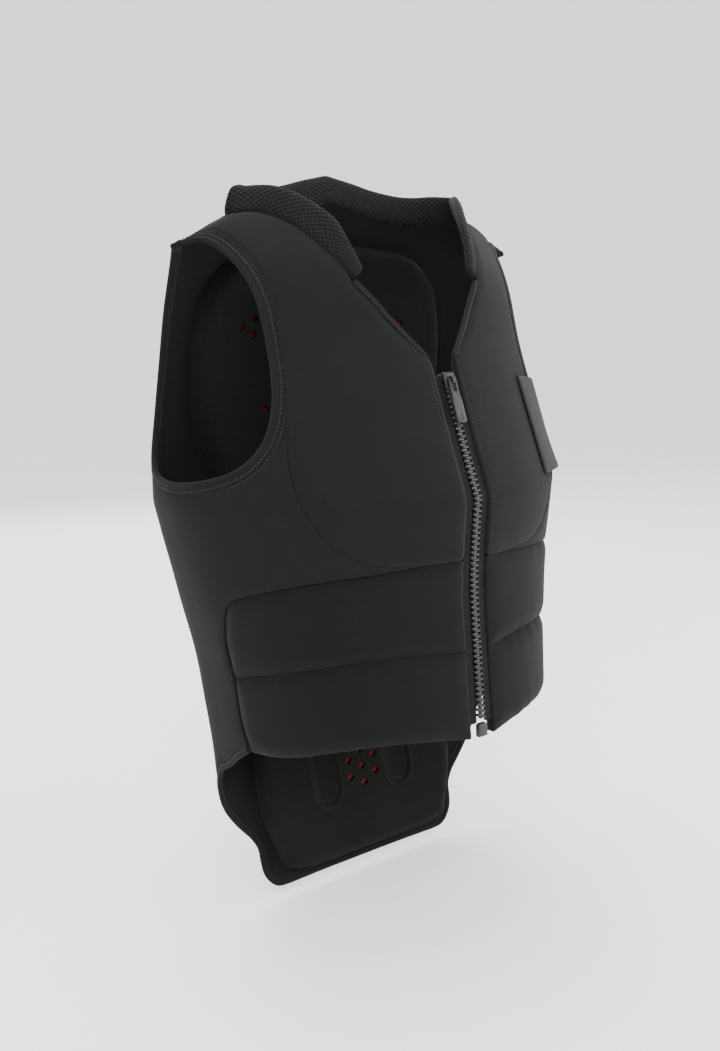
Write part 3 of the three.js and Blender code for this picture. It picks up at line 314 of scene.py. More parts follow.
def around_at(x, level, is_back):
    """The around value at which the surface lies a distance from the middle plane."""
    low, high = 0.0, 1.0
    for _ in range(32):
        middle = (low + high) / 2
        if vest(2 - middle if is_back else middle, level)[0] < x:
            low = middle
        else:
            high = middle
    return 2 - low if is_back else low


def level_at(x, z):
    """The level at which the back has a height, near a distance from the middle."""
    if z <= -ARMPIT_DROP:
        return (z + ARMPIT_DROP) / (BACK_LENGTH - ARMPIT_DROP)
    low, high = 0.0, 1.0
    for _ in range(24):
        middle = (low + high) / 2
        if vest(around_at(x, middle, True), middle)[2] < z:
            low = middle
        else:
            high = middle
    return low


def on_back(across, down, half):
    level = level_at(across * half, -down * BACK_LENGTH)
    return (2.0 if across < 0.001 else around_at(across * half, level, True), level)


def zip_edge(level):
    return np.array([around_at(ZIP_HALF_WIDTH, level, False), level])


def zip_edges(points):
    return np.array([zip_edge(level) for level in np.asarray(points)[:, 1]])


# The lines where the panels meet, in (around, level)
armhole = sampled(ARMHOLE_EDGE, ARMHOLE_FACES)
armhole_seam = shifted(armhole, -ARMHOLE_BAND)
WEDGE_LEVEL = (CHEST_SEAM[0][1] + BELLY_SEAM[0][1]) / 2
chest_wedge = np.array([zip_edge(WEDGE_LEVEL), (CHEST_SEAM[1][0], WEDGE_LEVEL), CHEST_SEAM[2]])
chest_rise = sampled([*CHEST_SEAM[2:], armhole_seam[CHEST_JOINT]], CHEST_COLUMNS - 2)
belly_wedge = np.array([*chest_wedge[:2], BELLY_SEAM[2]])
tongue_top = np.concatenate([chest_rise, armhole_seam[CHEST_JOINT + 1 : UNDERARM_JOINT + 1]])
belly_run = sampled(BELLY_SEAM[2:], len(tongue_top) - 1)
pad_side_upper = sampled(PAD_SIDE[:4], BELLY_ROWS)
pad_side_lower = sampled(PAD_SIDE[3:], BELLY_ROWS)
belly_columns = 1 + len(belly_run)
pad_middle = evenly([zip_edge(PAD_SEAM[0][1]), *sampled(PAD_SEAM, 20)[1:]], belly_columns)
hem_front = evenly([zip_edge(FRONT_HEM[0][1]), *sampled(FRONT_HEM, 20)[1:]], belly_columns)
tail_line = np.array([SIDE_HEM[-1], *[on_back(a, d, TAIL_HALF_WIDTH) for a, d in TAIL_HEM]])
hem_line = sampled(SIDE_HEM, SIDE_JOINT - UNDERARM_JOINT)
hem_edge = np.concatenate([hem_line, tail_line[1:]])
hem_seam = shifted(hem_edge, HEM_BAND)
hem_seam[0] = pad_side_lower[-2] * 0.4 + pad_side_lower[-1] * 0.6
hem_seam[-1, 0] = 2
hem_side, hem_tail = hem_seam[: len(hem_line)], hem_seam[len(hem_line) - 1 :]
neckline = sampled(FRONT_NECKLINE, 40)
zip_top = np.argmax(vest(neckline[:, 0], neckline[:, 1])[:, 0] >= ZIP_HALF_WIDTH) / 40
v_neck = evenly(evenly(neckline, 13, zip_top, COLLAR_START - 0.02), V_NECK_ROWS)
neck_seam = shifted(v_neck, -NECK_BAND)
neck_seam[0] = zip_edge(neck_seam[0, 1] - NECK_BAND * 0.003)
nape_line = sampled(BACK_NECKLINE, 12)


# The same lines, finer, so that neighbours share every point
FINE = 5
arm_fine, arm_seam_fine = finer(armhole, FINE), finer(armhole_seam, FINE)
hem_fine, hem_seam_fine = finer(hem_edge, FINE), finer(hem_seam, FINE)
hem_fine[-1, 0] = hem_seam_fine[-1, 0] = 2
neck_fine, neck_seam_fine = finer(v_neck, FINE), finer(neck_seam, FINE)
rise_fine, run_fine = finer(chest_rise, FINE), finer(belly_run, FINE)
wedge_fine = evenly(chest_wedge[:2], FINE)
chest_low = np.concatenate([wedge_fine, evenly(chest_wedge[1:], FINE)[1:], rise_fine[1:]])
belly_top = np.concatenate([wedge_fine, evenly(belly_wedge[1:], FINE)[1:], run_fine[1:]])
middle_fine = finer(pad_middle, FINE)


def rumple(points, size, seed):
    """Smooth noise from -1 to 1 at points in millimetres, with folds of one size."""
    offset = Vector((seed * 7.3, seed * 3.1, seed * 5.7))
    return np.array([noise.noise(Vector(p) / size + offset) for p in points])


def key(spot):
    return tuple(int(round(c * 50)) for c in spot)


def piece(name, points, faces, inner_from=None, materials=(), smooth=True, sharp=()):
    """A mesh object from points in millimetres, its faces turned outwards."""
    mesh = bpy.data.meshes.new(name)
    mesh.from_pydata([tuple(p * 0.001) for p in np.asarray(points, float)], [], faces)
    for material in materials:
        mesh.materials.append(material)
    if inner_from is not None:
        mesh.polygons.foreach_set("material_index", [int(i >= inner_from) for i in range(len(faces))])
    shape = bmesh.new()
    shape.from_mesh(mesh)
    bmesh.ops.remove_doubles(shape, verts=shape.verts, dist=1e-6)
    bmesh.ops.recalc_face_normals(shape, faces=shape.faces)
    if sharp:
        keep = {tuple(sorted((key(points[a]), key(points[b])))) for a, b in sharp}
        crease = shape.edges.layers.float.new("crease_edge")
        for edge in shape.edges:
            ends = tuple(sorted(key(np.array(v.co) * 1000) for v in edge.verts))
            if ends in keep:
                edge[crease] = 1
    shape.to_mesh(mesh)
    shape.free()
    obj = bpy.data.objects.new(name, mesh)
    bpy.context.scene.collection.objects.link(obj)
    if smooth:
        mesh.polygons.foreach_set("use_smooth", [True] * len(mesh.polygons))
    return obj


def wrap_cloth(obj):
    """Lays a map in metres round the body, so a knit's wales run upright on every panel."""
    mesh = obj.data
    spots = np.zeros(len(mesh.vertices) * 3)
    mesh.vertices.foreach_get("co", spots)
    spots = spots.reshape(-1, 3)
    is_back = spots[:, 1].mean() > 0.01
    around = np.arctan2(spots[:, 0], (spots[:, 1] + 0.05) if is_back else (0.05 - spots[:, 1]))
    flat = np.stack([around * 0.16, spots[:, 2]], -1)
    corners = np.zeros(len(mesh.loops), int)
    mesh.loops.foreach_get("vertex_index", corners)
    layer = mesh.uv_layers.new(name="cloth")
    layer.data.foreach_set("uv", flat[corners].ravel())


def rounded(obj, levels=1):
    """Applies one subdivision surface."""
    modifier = obj.modifiers.new("round", "SUBSURF")
    modifier.levels = modifier.render_levels = levels
    apply(obj, modifier)
    return obj


def apply(obj, modifier):
    bpy.context.view_layer.objects.active = obj
    bpy.ops.object.modifier_apply(modifier=modifier.name)


def lay_cloth(name, grids, outer, inner, materials, is_centred=False):
    """A closed piece between two depths below the vest's surface. The depths are functions of the
    distance from the piece's edge, the run along that edge, and the place, all in millimetres."""
    pairs, known, quads = [], {}, []
    for grid in grids:
        rows, columns = grid.shape[:2]
        index = np.zeros((rows, columns), int)
        for j in range(rows):
            for i in range(columns):
                key = (round(float(grid[j, i, 0]), 6), round(float(grid[j, i, 1]), 6))
                if key not in known:
                    known[key] = len(pairs)
                    pairs.append(grid[j, i])
                index[j, i] = known[key]
        for j in range(rows - 1):
            for i in range(columns - 1):
                quad = (index[j, i], index[j, i + 1], index[j + 1, i + 1], index[j + 1, i])
                quad = tuple(dict.fromkeys(quad))
                if len(quad) > 2:
                    quads.append(quad)
    pairs = np.array(pairs)
    is_middle = (pairs[:, 0] > 1.9995) & is_centred
    edges = {}
    for quad in quads:
        for a, b in zip(quad, quad[1:] + quad[:1]):
            if (b, a) in edges:
                del edges[(b, a)]
            else:
                edges[(a, b)] = True
    border = [(a, b) for a, b in edges if not (is_middle[a] and is_middle[b])]
    spots = vest(pairs[:, 0], pairs[:, 1])
    normals = frame_at(pairs[:, 0], pairs[:, 1])[2]
    centres = {}
    for quad in quads:
        for k in quad:
            centres.setdefault(k, []).append(spots[list(quad)].mean(0))
    for a in {k for edge in border for k in edge}:
        into = np.mean(centres[a], 0) - spots[a]
        if is_middle[a]:
            into[0] = 0
        spots[a] = spots[a] + into / max(np.linalg.norm(into), 1e-6) * SEAM_GAP / 2
    after = dict(border)
    start = next((a for a in after if a not in set(after.values())), border[0][0])
    chain, at = [start], after[start]
    while at != start:
        chain.append(at)
        if at not in after:
            break
        at = after[at]
    loop = spots[chain + ([start] if at == start else [])]
    length = np.linalg.norm(np.diff(loop, axis=0), axis=1).sum()
    dense = evenly(loop, max(int(length / 1.5), 2))
    tree = KDTree(len(dense))
    for i, p in enumerate(dense):
        tree.insert(p, i)
    tree.balance()
    nearest = [tree.find(p) for p in spots]
    distance = np.array([n[2] for n in nearest])
    distance[chain] = 0
    run = np.array([n[1] for n in nearest]) * 1.5
    layers = [spots - normals * depth(distance, run, spots)[:, None] for depth in (outer, inner)]
    if is_centred:
        for layer in layers:
            layer[is_middle, 0] = 0
    points = np.concatenate(layers)
    count = len(pairs)
    front = list(quads) + [(b, a, a + count, b + count) for a, b in border]
    sharp = list(border) + [(a + count, b + count) for a, b in border]
    back = [tuple(k + count for k in reversed(quad)) for quad in quads]
    if is_centred:
        total = len(points)
        points = np.concatenate([points, points * [-1, 1, 1]])
        front += [tuple(k + total for k in reversed(face)) for face in front]
        back += [tuple(k + total for k in reversed(face)) for face in back]
        sharp += [(a + total, b + total) for a, b in sharp]
    return piece(name, points, front + back, len(front), materials, sharp=sharp)


def mirror_of(obj, name):
    copy = obj.copy()
    copy.data = obj.data.copy()
    copy.name = copy.data.name = name
    bpy.context.scene.collection.objects.link(copy)
    copy.data.transform(Matrix.Scale(-1, 4, (1, 0, 0)))
    copy.data.flip_normals()
    return copy


def settle(obj, slot, *solids, body="vest"):
    if "cloth" not in obj.data.uv_layers and "band" not in obj.data.uv_layers:
        wrap_cloth(obj)
    if solids:
        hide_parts(*solids)
    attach(obj, body)
    return obj


def tucked(pinch, roll, power=2.2):
    """Depth lost towards a seam: all of the pinch at the seam, none beyond the roll."""
    return lambda distance: pinch * np.maximum(1 - distance / roll, 0) ** power


def puckers(distance, run, reach, height, pitch, seed):
    """Small gathers that run away from a seam and die out over the reach."""
    steps = np.stack([run / pitch, distance / (pitch * 5), run * 0 + seed], -1)
    return height * np.exp(-distance / reach) * rumple(steps, 1.0, seed)


def by_zip(spots):
    """Less of a pinch beside the zip, where the edge is turned over the tape."""
    return 0.45 + 0.55 * np.clip((spots[:, 0] - 13) / 22, 0, 1)


def groove(distance, place, width, depth):
    return depth * np.exp(-(((distance - place) / width) ** 2))


# Chest panels: foam over the chest that thins up into the strap
def chest_grid():
    rows = CHEST_JOINT
    zip_line = zip_edges(evenly([chest_wedge[0], neck_seam[0]], ZIP_ROWS))
    under_collar = evenly(evenly(neckline, 24, COLLAR_START, 1), rows - ZIP_ROWS - V_NECK_ROWS)
    left = np.concatenate([zip_line, neck_seam[1:], under_collar[1:]])
    right = armhole_seam[: CHEST_JOINT + 1][::-1]
    bottom = np.concatenate([chest_wedge, chest_rise[1:]])
    grid = coons(left, right, bottom, evenly([left[rows], right[rows]], CHEST_COLUMNS))
    zips = zip_edges(evenly([chest_wedge[0], neck_seam[0]], ZIP_ROWS * FINE))
    under = evenly(evenly(neckline, 24, COLLAR_START, 1), (rows - ZIP_ROWS - V_NECK_ROWS) * FINE)
    side = np.concatenate([zips, neck_seam_fine[1:], under[1:]])
    under[0] = neck_seam_fine[-1]
    inside = arm_seam_fine[: CHEST_JOINT * FINE + 1][::-1]
    return fitted(finer_grid(grid, FINE, FINE), side, inside, chest_low)


def chest_outer(distance, run, spots):
    depth = tucked(CHEST_PINCH, SEAM_ROLL)(distance) * by_zip(spots) + 0.3 + 0.3 * rumple(spots, 55, 3)
    depth += groove(distance, 4.6, 0.9, 0.35)
    return depth - puckers(distance, run, 9, 0.5, 7, 2)


def chest_inner(distance, run, spots):
    share = np.clip((spots[:, 2] + 240) / 260, 0, 1)
    swell = 1 - np.exp(-((distance / 12) ** 2))
    foam = (CHEST_FOAM - CHEST_EDGE) * (1 - STRAP_THINNING * share) * swell
    return PINCH + CHEST_EDGE + foam + puckers(distance, run, 12, 0.5, 10, 5) - 0.4


# Side panels: a tongue under the chest, then round under the arm to the back
def side_grids():
    last = len(tongue_top) - 1
    tip = evenly([belly_run[0], tongue_top[0]], SIDE_ROWS)
    fold = evenly([belly_run[last], tongue_top[last]], SIDE_ROWS)
    tongue = coons(tip, fold, belly_run, tongue_top)
    pad_edge = np.concatenate([hem_side[:1], pad_side_lower[1:-1][::-1], pad_side_upper[::-1]])
    left = np.concatenate([pad_edge, fold[1:]])
    columns = SIDE_JOINT - UNDERARM_JOINT
    seam = evenly([hem_side[columns], armhole_seam[SIDE_JOINT]], len(left) - 1)
    flank = coons(left, seam, hem_side, armhole_seam[UNDERARM_JOINT : SIDE_JOINT + 1])
    point = np.repeat(belly_wedge[1:2], SIDE_ROWS + 1, 0)
    wedge = coons(point, tip, [belly_wedge[1], belly_run[0]], [belly_wedge[1], tongue_top[0]])
    wedge, tongue, flank = (finer_grid(grid, FINE, FINE) for grid in (wedge, tongue, flank))
    wedge[:, 0] = belly_wedge[1]
    joint, arm = CHEST_JOINT * FINE, UNDERARM_JOINT * FINE
    above = np.concatenate([rise_fine, arm_seam_fine[joint + 1 : arm + 1]])
    tongue = fitted(tongue, wedge[:, -1], None, run_fine, above)
    edge = flank[:, 0].copy()
    edge[(len(pad_edge) - 1) * FINE :] = tongue[:, -1]
    low = hem_seam_fine[: columns * FINE + 1]
    flank = fitted(flank, edge, None, low, arm_seam_fine[arm : SIDE_JOINT * FINE + 1])
    return [wedge, tongue, flank]


def side_outer(distance, run, spots):
    depth = PINCH + tucked(0.8, 5)(distance) + 0.5 * rumple(spots, 38, 9) + 0.3 * rumple(spots, 90, 4)
    return depth + groove(distance, 3.2, 0.8, 0.25) - puckers(distance, run, 10, 0.45, 8, 6)


def side_inner(distance, run, spots):
    return PINCH + SIDE_CLOTH + 0.5 * rumple(spots, 38, 9) + 0.3 * rumple(spots, 90, 4)


def belly_grid(top, side, bottom, top_fine=None, bottom_fine=None):
    left = zip_edges(evenly([bottom[0], top[0]], BELLY_ROWS))
    grid = finer_grid(coons(left, side[::-1], bottom, top), FINE, FINE + 2)
    return fitted(grid, None, None, bottom_fine, top_fine)


def belly_outer(seed):
    def depth(distance, run, spots):
        rise = tucked(BELLY_PINCH, BELLY_ROLL, 2.4)(distance) * by_zip(spots)
        rise = rise + 0.45 * rumple(spots, 42, seed)
        return rise + 0.3 - puckers(distance, run, 13, 1.0, 10, seed + 2)
    return depth


def belly_inner(distance, run, spots):
    swell = 1 - np.exp(-((distance / 12) ** 2))
    return 3.2 + BELLY_EDGE + (BELLY_FOAM - 3.2 - BELLY_EDGE) * swell - 0.3


# Back cloth, in one piece from the shoulders and the nape to the tail
def back_grid():
    seam = evenly([hem_tail[0], armhole_seam[SIDE_JOINT]], BACK_SEAM_ROWS)
    right = np.concatenate([seam, armhole_seam[SIDE_JOINT + 1 :]])
    rows, columns = len(right) - 1, len(TAIL_HEM)
    strap = evenly([right[rows], nape_line[0]], 2)
    top = np.concatenate([strap, evenly(nape_line, columns - 2)[1:]])
    middle = evenly([hem_tail[columns], top[columns]], rows)
    grid = finer_grid(coons(right, middle, hem_tail, top, relax=40), FINE, FINE)
    edge = grid[:, 0].copy()
    edge[BACK_SEAM_ROWS * FINE :] = arm_seam_fine[SIDE_JOINT * FINE :]
    return fitted(grid, edge, None, hem_seam_fine[(len(hem_line) - 1) * FINE :])


def back_outer(distance, run, spots):
    depth = PINCH + tucked(0.7, 5)(distance) + 0.45 * rumple(spots, 70, 12)
    return depth - puckers(distance, run, 10, 0.35, 9, 8)


def back_inner(distance, run, spots):
    folds = 0.8 + 0.9 * rumple(spots * [1, 1, 0.45], 26, 15)
    return PINCH + BACK_CLOTH + folds * np.clip(distance / 25, 0, 1)


def protector_grid():
    outline = [on_back(a, d, PROTECTOR_HALF_WIDTH) for a, d in PROTECTOR_OUTLINE]
    side = evenly(outline[3:15][::-1], CORE_ROWS)
    top = evenly(outline[:4][::-1], CORE_COLUMNS)
    bottom = evenly(outline[14:], CORE_COLUMNS)
    return coons(side, evenly([bottom[-1], top[-1]], CORE_ROWS), bottom, top)


def channel(spots):
    """How far inside one of the protector's two upright channels a place is, 0 to 1."""
    x = np.abs(spots[:, 0]) - CHANNEL_OFFSET
    down = -spots[:, 2]
    low, high = CHANNEL_END * BACK_LENGTH - CHANNEL_WIDTH / 2, CHANNEL_TOP * BACK_LENGTH
    beyond = np.maximum(np.maximum(down - low, high - down), 0)
    gap = CHANNEL_WIDTH / 2 - np.sqrt(x**2 + beyond**2)
    return np.clip(gap / 3.5, 0, 1)


def cover_inner(distance, run, spots):
    soft = 0.5 * rumple(spots, 34, 21) + 0.3 * rumple(spots * [1, 1, 0.5], 14, 22)
    face = COVER_DEPTH + COVER_THICKNESS - tucked(3.2, 11, 2.4)(distance)
    inside = channel(spots)
    lips = 0.7 * np.clip(1 - np.abs(inside - 0.02) * 30, 0, 1)
    return face + soft - CHANNEL_DEPTH * (3 * inside**2 - 2 * inside**3) - lips


def cover_outer(distance, run, spots):
    return np.where(distance < 0.5, CORE_DEPTH - 1, COVER_DEPTH)


def band(name, edge, seam, ring, materials, is_loop=False, is_centred=False):
    """A folded binding. Each ring point is (share of the way from the free edge to the seam,
    depth below the surface)."""
    far, near = vest(edge[:, 0], edge[:, 1]), vest(seam[:, 0], seam[:, 1])
    ends = frame_at(edge[:, 0], edge[:, 1])[2], frame_at(seam[:, 0], seam[:, 1])[2]
    rings = []
    for share, depth in ring:
        normal = unit(ends[0] * (1 - share) + ends[1] * share)
        rings.append(far * (1 - share) + near * share - normal * depth)
    rings = np.stack(rings, 1)
    if is_centred:
        rings[-1, :, 0] = 0
        rings = np.concatenate([rings, rings[-2::-1] * [-1, 1, 1]])
    return tube(name, rings, materials, is_loop)


def tube(name, rings, materials, is_loop=False):
    """Joins rings of points into a closed body and maps it in metres along and around."""
    if is_loop and np.linalg.norm(rings[0] - rings[-1]) < 1e-3:
        rings = rings[:-1]
    count, size = len(rings), rings.shape[1]
    faces = []
    for j in range(count if is_loop else count - 1):
        n = (j + 1) % count
        for i in range(size):
            k = (i + 1) % size
            faces.append((j * size + i, j * size + k, n * size + k, n * size + i))
    points = rings.reshape(-1, 3)
    if not is_loop:
        for row in (0, count - 1):
            points = np.concatenate([points, rings[row].mean(0)[None]])
            centre = len(points) - 1
            faces += [(row * size + i, row * size + (i + 1) % size, centre) for i in range(size)]
    obj = piece(name, points, faces, None, materials)
    middle = rings.mean(1)
    along = np.concatenate([[0], np.cumsum(np.linalg.norm(np.diff(middle, axis=0), axis=1))]) * 0.001
    girth = np.linalg.norm(np.diff(rings[count // 2], axis=0), axis=1)
    around = np.concatenate([[0], np.cumsum(girth)]) * 0.001
    values = {}
    for j in range(count):
        for i in range(size):
            values[tuple(np.round(rings[j, i] * 0.001, 5))] = (along[j], around[i])
    layer = obj.data.uv_layers.new(name="band")
    total = around[-1] + np.linalg.norm(rings[count // 2, 0] - rings[count // 2, -1]) * 0.001
    for face in obj.data.polygons:
        spots = []
        for corner in face.loop_indices:
            spot = obj.data.vertices[obj.data.loops[corner].vertex_index].co
            spots.append(values.get(tuple(np.round(np.array(spot), 5)), (0, 0)))
        turn = max(s[1] for s in spots) - min(s[1] for s in spots) > total / 2
        jump = max(s[0] for s in spots) - min(s[0] for s in spots) > along[-1] / 2
        for corner, (u, v) in zip(face.loop_indices, spots):
            u = u + along[-1] if jump and u < along[-1] / 2 else u
            v = v + total if turn and v < total / 2 else v
            layer.data[corner].uv = (u, v)
    return obj


def linear(code):
    """A linear colour from an sRGB hex value."""
    parts = [int(code[i : i + 2], 16) / 255 for i in (1, 3, 5)]
    return (*[c / 12.92 if c <= 0.04045 else ((c + 0.055) / 1.055) ** 2.4 for c in parts], 1)


def add(tree, kind, inputs=(), **settings):
    """Adds a node, sets what it is set to, and fills or links its inputs."""
    made = tree.nodes.new(kind)
    for key, value in settings.items():
        setattr(made, key, value)
    for socket, source in dict(inputs).items():
        if isinstance(source, bpy.types.NodeSocket):
            tree.links.new(source, made.inputs[socket])
        else:
            made.inputs[socket].default_value = source
    return made


def begin(name, roughness, **sockets):
    """A new material with its shader; the rest of its settings are the shader's own sockets."""
    material = bpy.data.materials.new(name)
    material.use_nodes = True
    tree = material.node_tree
    shader = tree.nodes["Principled BSDF"]
    shader.inputs["Roughness"].default_value = roughness
    for key, value in sockets.items():
        shader.inputs[key.replace("_", " ")].default_value = value
    return material, tree, shader


def tint(tree, dark, light, amount):
    """A colour between two sRGB values, by an amount from 0 to 1."""
    mix = add(tree, "ShaderNodeMix", {"Factor": amount}, data_type="RGBA")
    mix.inputs[6].default_value, mix.inputs[7].default_value = linear(dark), linear(light)
    return mix.outputs[2]


def bumped(tree, shader, height, strength, distance):
    relief = {"Height": height, "Strength": strength, "Distance": distance}
    tree.links.new(add(tree, "ShaderNodeBump", relief).outputs[0], shader.inputs["Normal"])


def mapped(tree, layer, size_u, size_v, turn=0.0):
    """The piece's own map, scaled so that one unit is one repeat of the given sizes in mm."""
    source = add(tree, "ShaderNodeUVMap", uv_map=layer).outputs[0]
    scale = (1000 / size_u, 1000 / size_v, 1)
    return add(tree, "ShaderNodeMapping", {0: source, 2: (0, 0, turn), 3: scale}).outputs[0]


def knit(tree, layer, wale, course):
    """Height of a knitted face: upright wales of small leaning loops."""
    across = add(tree, "ShaderNodeTexWave", {"Vector": mapped(tree, layer, wale * 6.283, 1000), "Scale": 1},
                 wave_type="BANDS", bands_direction="X")
    loops = add(tree, "ShaderNodeTexWave", {"Vector": mapped(tree, layer, 1000, course * 6.283), "Scale": 1},
                wave_type="BANDS", bands_direction="Y")
    return add(tree, "ShaderNodeMath", {0: across.outputs["Fac"], 1: loops.outputs["Fac"]},
               operation="MULTIPLY").outputs[0]


def grain(tree, size, detail=3, rough=0.55):
    """Soft noise over the object, with spots of one size in mm."""
    spot = add(tree, "ShaderNodeTexCoord").outputs["Object"]
    return add(tree, "ShaderNodeTexNoise", {"Vector": spot, "Scale": 1000 / size, "Detail": detail,
                                            "Roughness": rough}).outputs["Fac"]


def blended(tree, a, b, share):
    first = add(tree, "ShaderNodeMath", {0: a, 1: 1 - share}, operation="MULTIPLY").outputs[0]
    return add(tree, "ShaderNodeMath", {0: b, 1: share, 2: first}, operation="MULTIPLY_ADD").outputs[0]


def cloth(name, dark, light, roughness, wale, course, relief, layer="cloth", sheen=0.03, patch=35):
    material, tree, shader = begin(name, roughness, Sheen_Weight=sheen, Sheen_Roughness=0.55,
                                   Specular_IOR_Level=0.1)
    loops = knit(tree, layer, wale, course)
    fuzz = grain(tree, 1.3, 2, 0.7)
    face = blended(tree, loops, fuzz, 0.45)
    shade = blended(tree, face, grain(tree, patch), 0.55)
    tree.links.new(tint(tree, dark, light, shade), shader.inputs["Base Color"])
    bumped(tree, shader, face, relief, 0.0005)
    return material


# Nylon softshell knit: matt, close-napped, its wales 1.1 mm apart in life, drawn at 1.8 to show
softshell = cloth("nylon_softshell_knit", "#0c0d0c", "#131512", 0.9, 1.8, 1.5, 0.25)
# The same knit laminated to foam on the belly pads, stretched smoother, in a darker copy whose darkness is
# painted shade
pad_cloth = cloth("laminated_softshell", "#090a09", "#0f100e", 0.9, 1.8, 1.5, 0.2)
# Warp-knit polyester lining: dull, with fine upright ribs
lining = cloth("warp_knit_lining", "#090a09", "#10120f", 0.93, 2.2, 1.2, 0.5, sheen=0.02)
# Folded elastic binding: close ribs that run along the tape
binding = cloth("ribbed_elastic_binding", "#0b0c0b", "#121311", 0.85, 2.6, 1.1, 0.5, "band")
# Woven polyester zip tape: dense, a little shiny along its ribs
tape_cloth = cloth("woven_zip_tape", "#080908", "#0f100f", 0.8, 1.4, 1.4, 0.5, "band")


def spacer_mesh_material():
    # Polyester spacer mesh: staggered oblong cells, 5.2 mm along and 4 mm up, sunk between soft bars; the
    # sunk cells are coloured near-black as painted shade
    material, tree, shader = begin("polyester_spacer_mesh", 0.84, Sheen_Weight=0.03,
                                   Sheen_Roughness=0.5, Specular_IOR_Level=0.1)
    cells = []
    for offset in ((0, 0, 0), (0.5, 0.5, 0)):
        spot = mapped(tree, "band", 5.2, 4.0)
        moved = add(tree, "ShaderNodeVectorMath", {0: spot, 1: offset}, operation="ADD").outputs[0]
        part = add(tree, "ShaderNodeVectorMath", {0: moved}, operation="FRACTION").outputs[0]
        centred = add(tree, "ShaderNodeVectorMath", {0: part, 1: (0.5, 0.5, 0)}, operation="SUBTRACT")
        wide = add(tree, "ShaderNodeVectorMath", {0: centred.outputs[0], 1: (1, 1.15, 0)},
                   operation="MULTIPLY")
        reach = add(tree, "ShaderNodeVectorMath", {0: wide.outputs[0]}, operation="LENGTH")
        cells.append(reach.outputs["Value"])
    near = add(tree, "ShaderNodeMath", {0: cells[0], 1: cells[1]}, operation="MINIMUM").outputs[0]
    bars_and_painted_cell_shade = add(tree, "ShaderNodeMapRange", {0: near, 1: 0.17, 2: 0.34, 3: 0, 4: 1},
               interpolation_type="SMOOTHSTEP").outputs[0]
    face = blended(tree, bars_and_painted_cell_shade, grain(tree, 1.2, 2), 0.2)
    # painted shade: the sunk cells take the near-black end of the colour, the bars the lighter end
    tree.links.new(tint(tree, "#030403", "#151714", face), shader.inputs["Base Color"])
    bumped(tree, shader, bars_and_painted_cell_shade, 0.8, 0.0012)
    return material


def foam_material():
    # Closed-cell red foam: soft, dull, fine pores
    material, tree, shader = begin("closed_cell_foam", 0.88, Specular_IOR_Level=0.3)
    place = add(tree, "ShaderNodeTexCoord").outputs["Object"]
    pores = add(tree, "ShaderNodeTexVoronoi", {"Vector": place, "Scale": 1000 / 1.4}).outputs["Distance"]
    shade = blended(tree, pores, grain(tree, 9), 0.5)
    tree.links.new(tint(tree, "#8a0f1b", "#b8202f", shade), shader.inputs["Base Color"])
    bumped(tree, shader, pores, 0.4, 0.0003)
    return material


def moulded_material(name, dark, light, roughness, grit=0.5, relief=0.15):
    # Injection-moulded acetal: even colour, a faint grit from the tool, roughness a little uneven in patches
    material, tree, shader = begin(name, roughness, Specular_IOR_Level=0.4)
    speck = grain(tree, grit, 2)
    shade = blended(tree, speck, grain(tree, 8), 0.5)
    tree.links.new(tint(tree, dark, light, shade), shader.inputs["Base Color"])
    worn = add(tree, "ShaderNodeMapRange", {0: grain(tree, 5), 3: roughness - 0.08, 4: roughness + 0.08})
    tree.links.new(worn.outputs[0], shader.inputs["Roughness"])
    bumped(tree, shader, speck, relief, 0.0002)
    return material


def thread_material():
    # Bonded polyester thread: tight twist, slight gloss
    material, tree, shader = begin("bonded_thread", 0.55, Specular_IOR_Level=0.4)
    tree.links.new(tint(tree, "#0d0e0c", "#181a17", grain(tree, 0.9, 2)), shader.inputs["Base Color"])
    return material


spacer_mesh = spacer_mesh_material()
red_foam = foam_material()
teeth_plastic = moulded_material("acetal_zip_teeth", "#151615", "#1f211e", 0.42)
pull_plastic = moulded_material("acetal_zip_pull", "#101110", "#181a17", 0.46)
patch_rubber = moulded_material("smooth_rubber_patch", "#050605", "#0a0b0a", 0.75, 1.2, 0.1)
thread = thread_material()


def laid_line(points, depth, side=1):
    """A line of (around, level) pairs as places and normals at a depth below the surface."""
    p = np.asarray(points, float)
    normals = frame_at(p[:, 0], p[:, 1])[2]
    turn = np.array([side, 1, 1])
    return (vest(p[:, 0], p[:, 1]) - normals * depth) * turn, normals * turn


def stitches(name, rows, pitch=3.4, length=2.5, radius=0.34):
    """Lock stitches along rows of (places, normals): short threads with both ends sunk."""
    points, faces = [], []
    for places, normals in rows:
        run = np.concatenate([[0], np.cumsum(np.linalg.norm(np.diff(places, axis=0), axis=1))])
        for start in np.arange(0.5, run[-1] - length, pitch):
            at = start + np.array([0, 0.25, 0.75, 1]) * length
            spots = np.stack([np.interp(at, run, places[:, k]) for k in range(3)], -1)
            normal = unit(np.array([np.interp(at[1], run, normals[:, k]) for k in range(3)]))
            ahead = unit(spots[-1] - spots[0])
            side = np.cross(normal, ahead)
            first = len(points)
            for spot, lift, girth in zip(spots, (-0.35, 0.1, 0.1, -0.35), (0.5, 1, 1, 0.5)):
                for k in range(5):
                    turn = 2 * math.pi * k / 5
                    out = side * math.cos(turn) + normal * math.sin(turn)
                    points.append(spot + normal * lift + out * radius * girth)
            for j in range(3):
                for k in range(5):
                    a, b = first + j * 5 + k, first + j * 5 + (k + 1) % 5
                    faces.append((a, b, b + 5, a + 5))
            faces.append(tuple(first + k for k in range(5)))
            faces.append(tuple(first + 15 + k for k in range(5)))
    obj = piece(name, points, faces, None, [thread])
    return settle(obj, "binding")


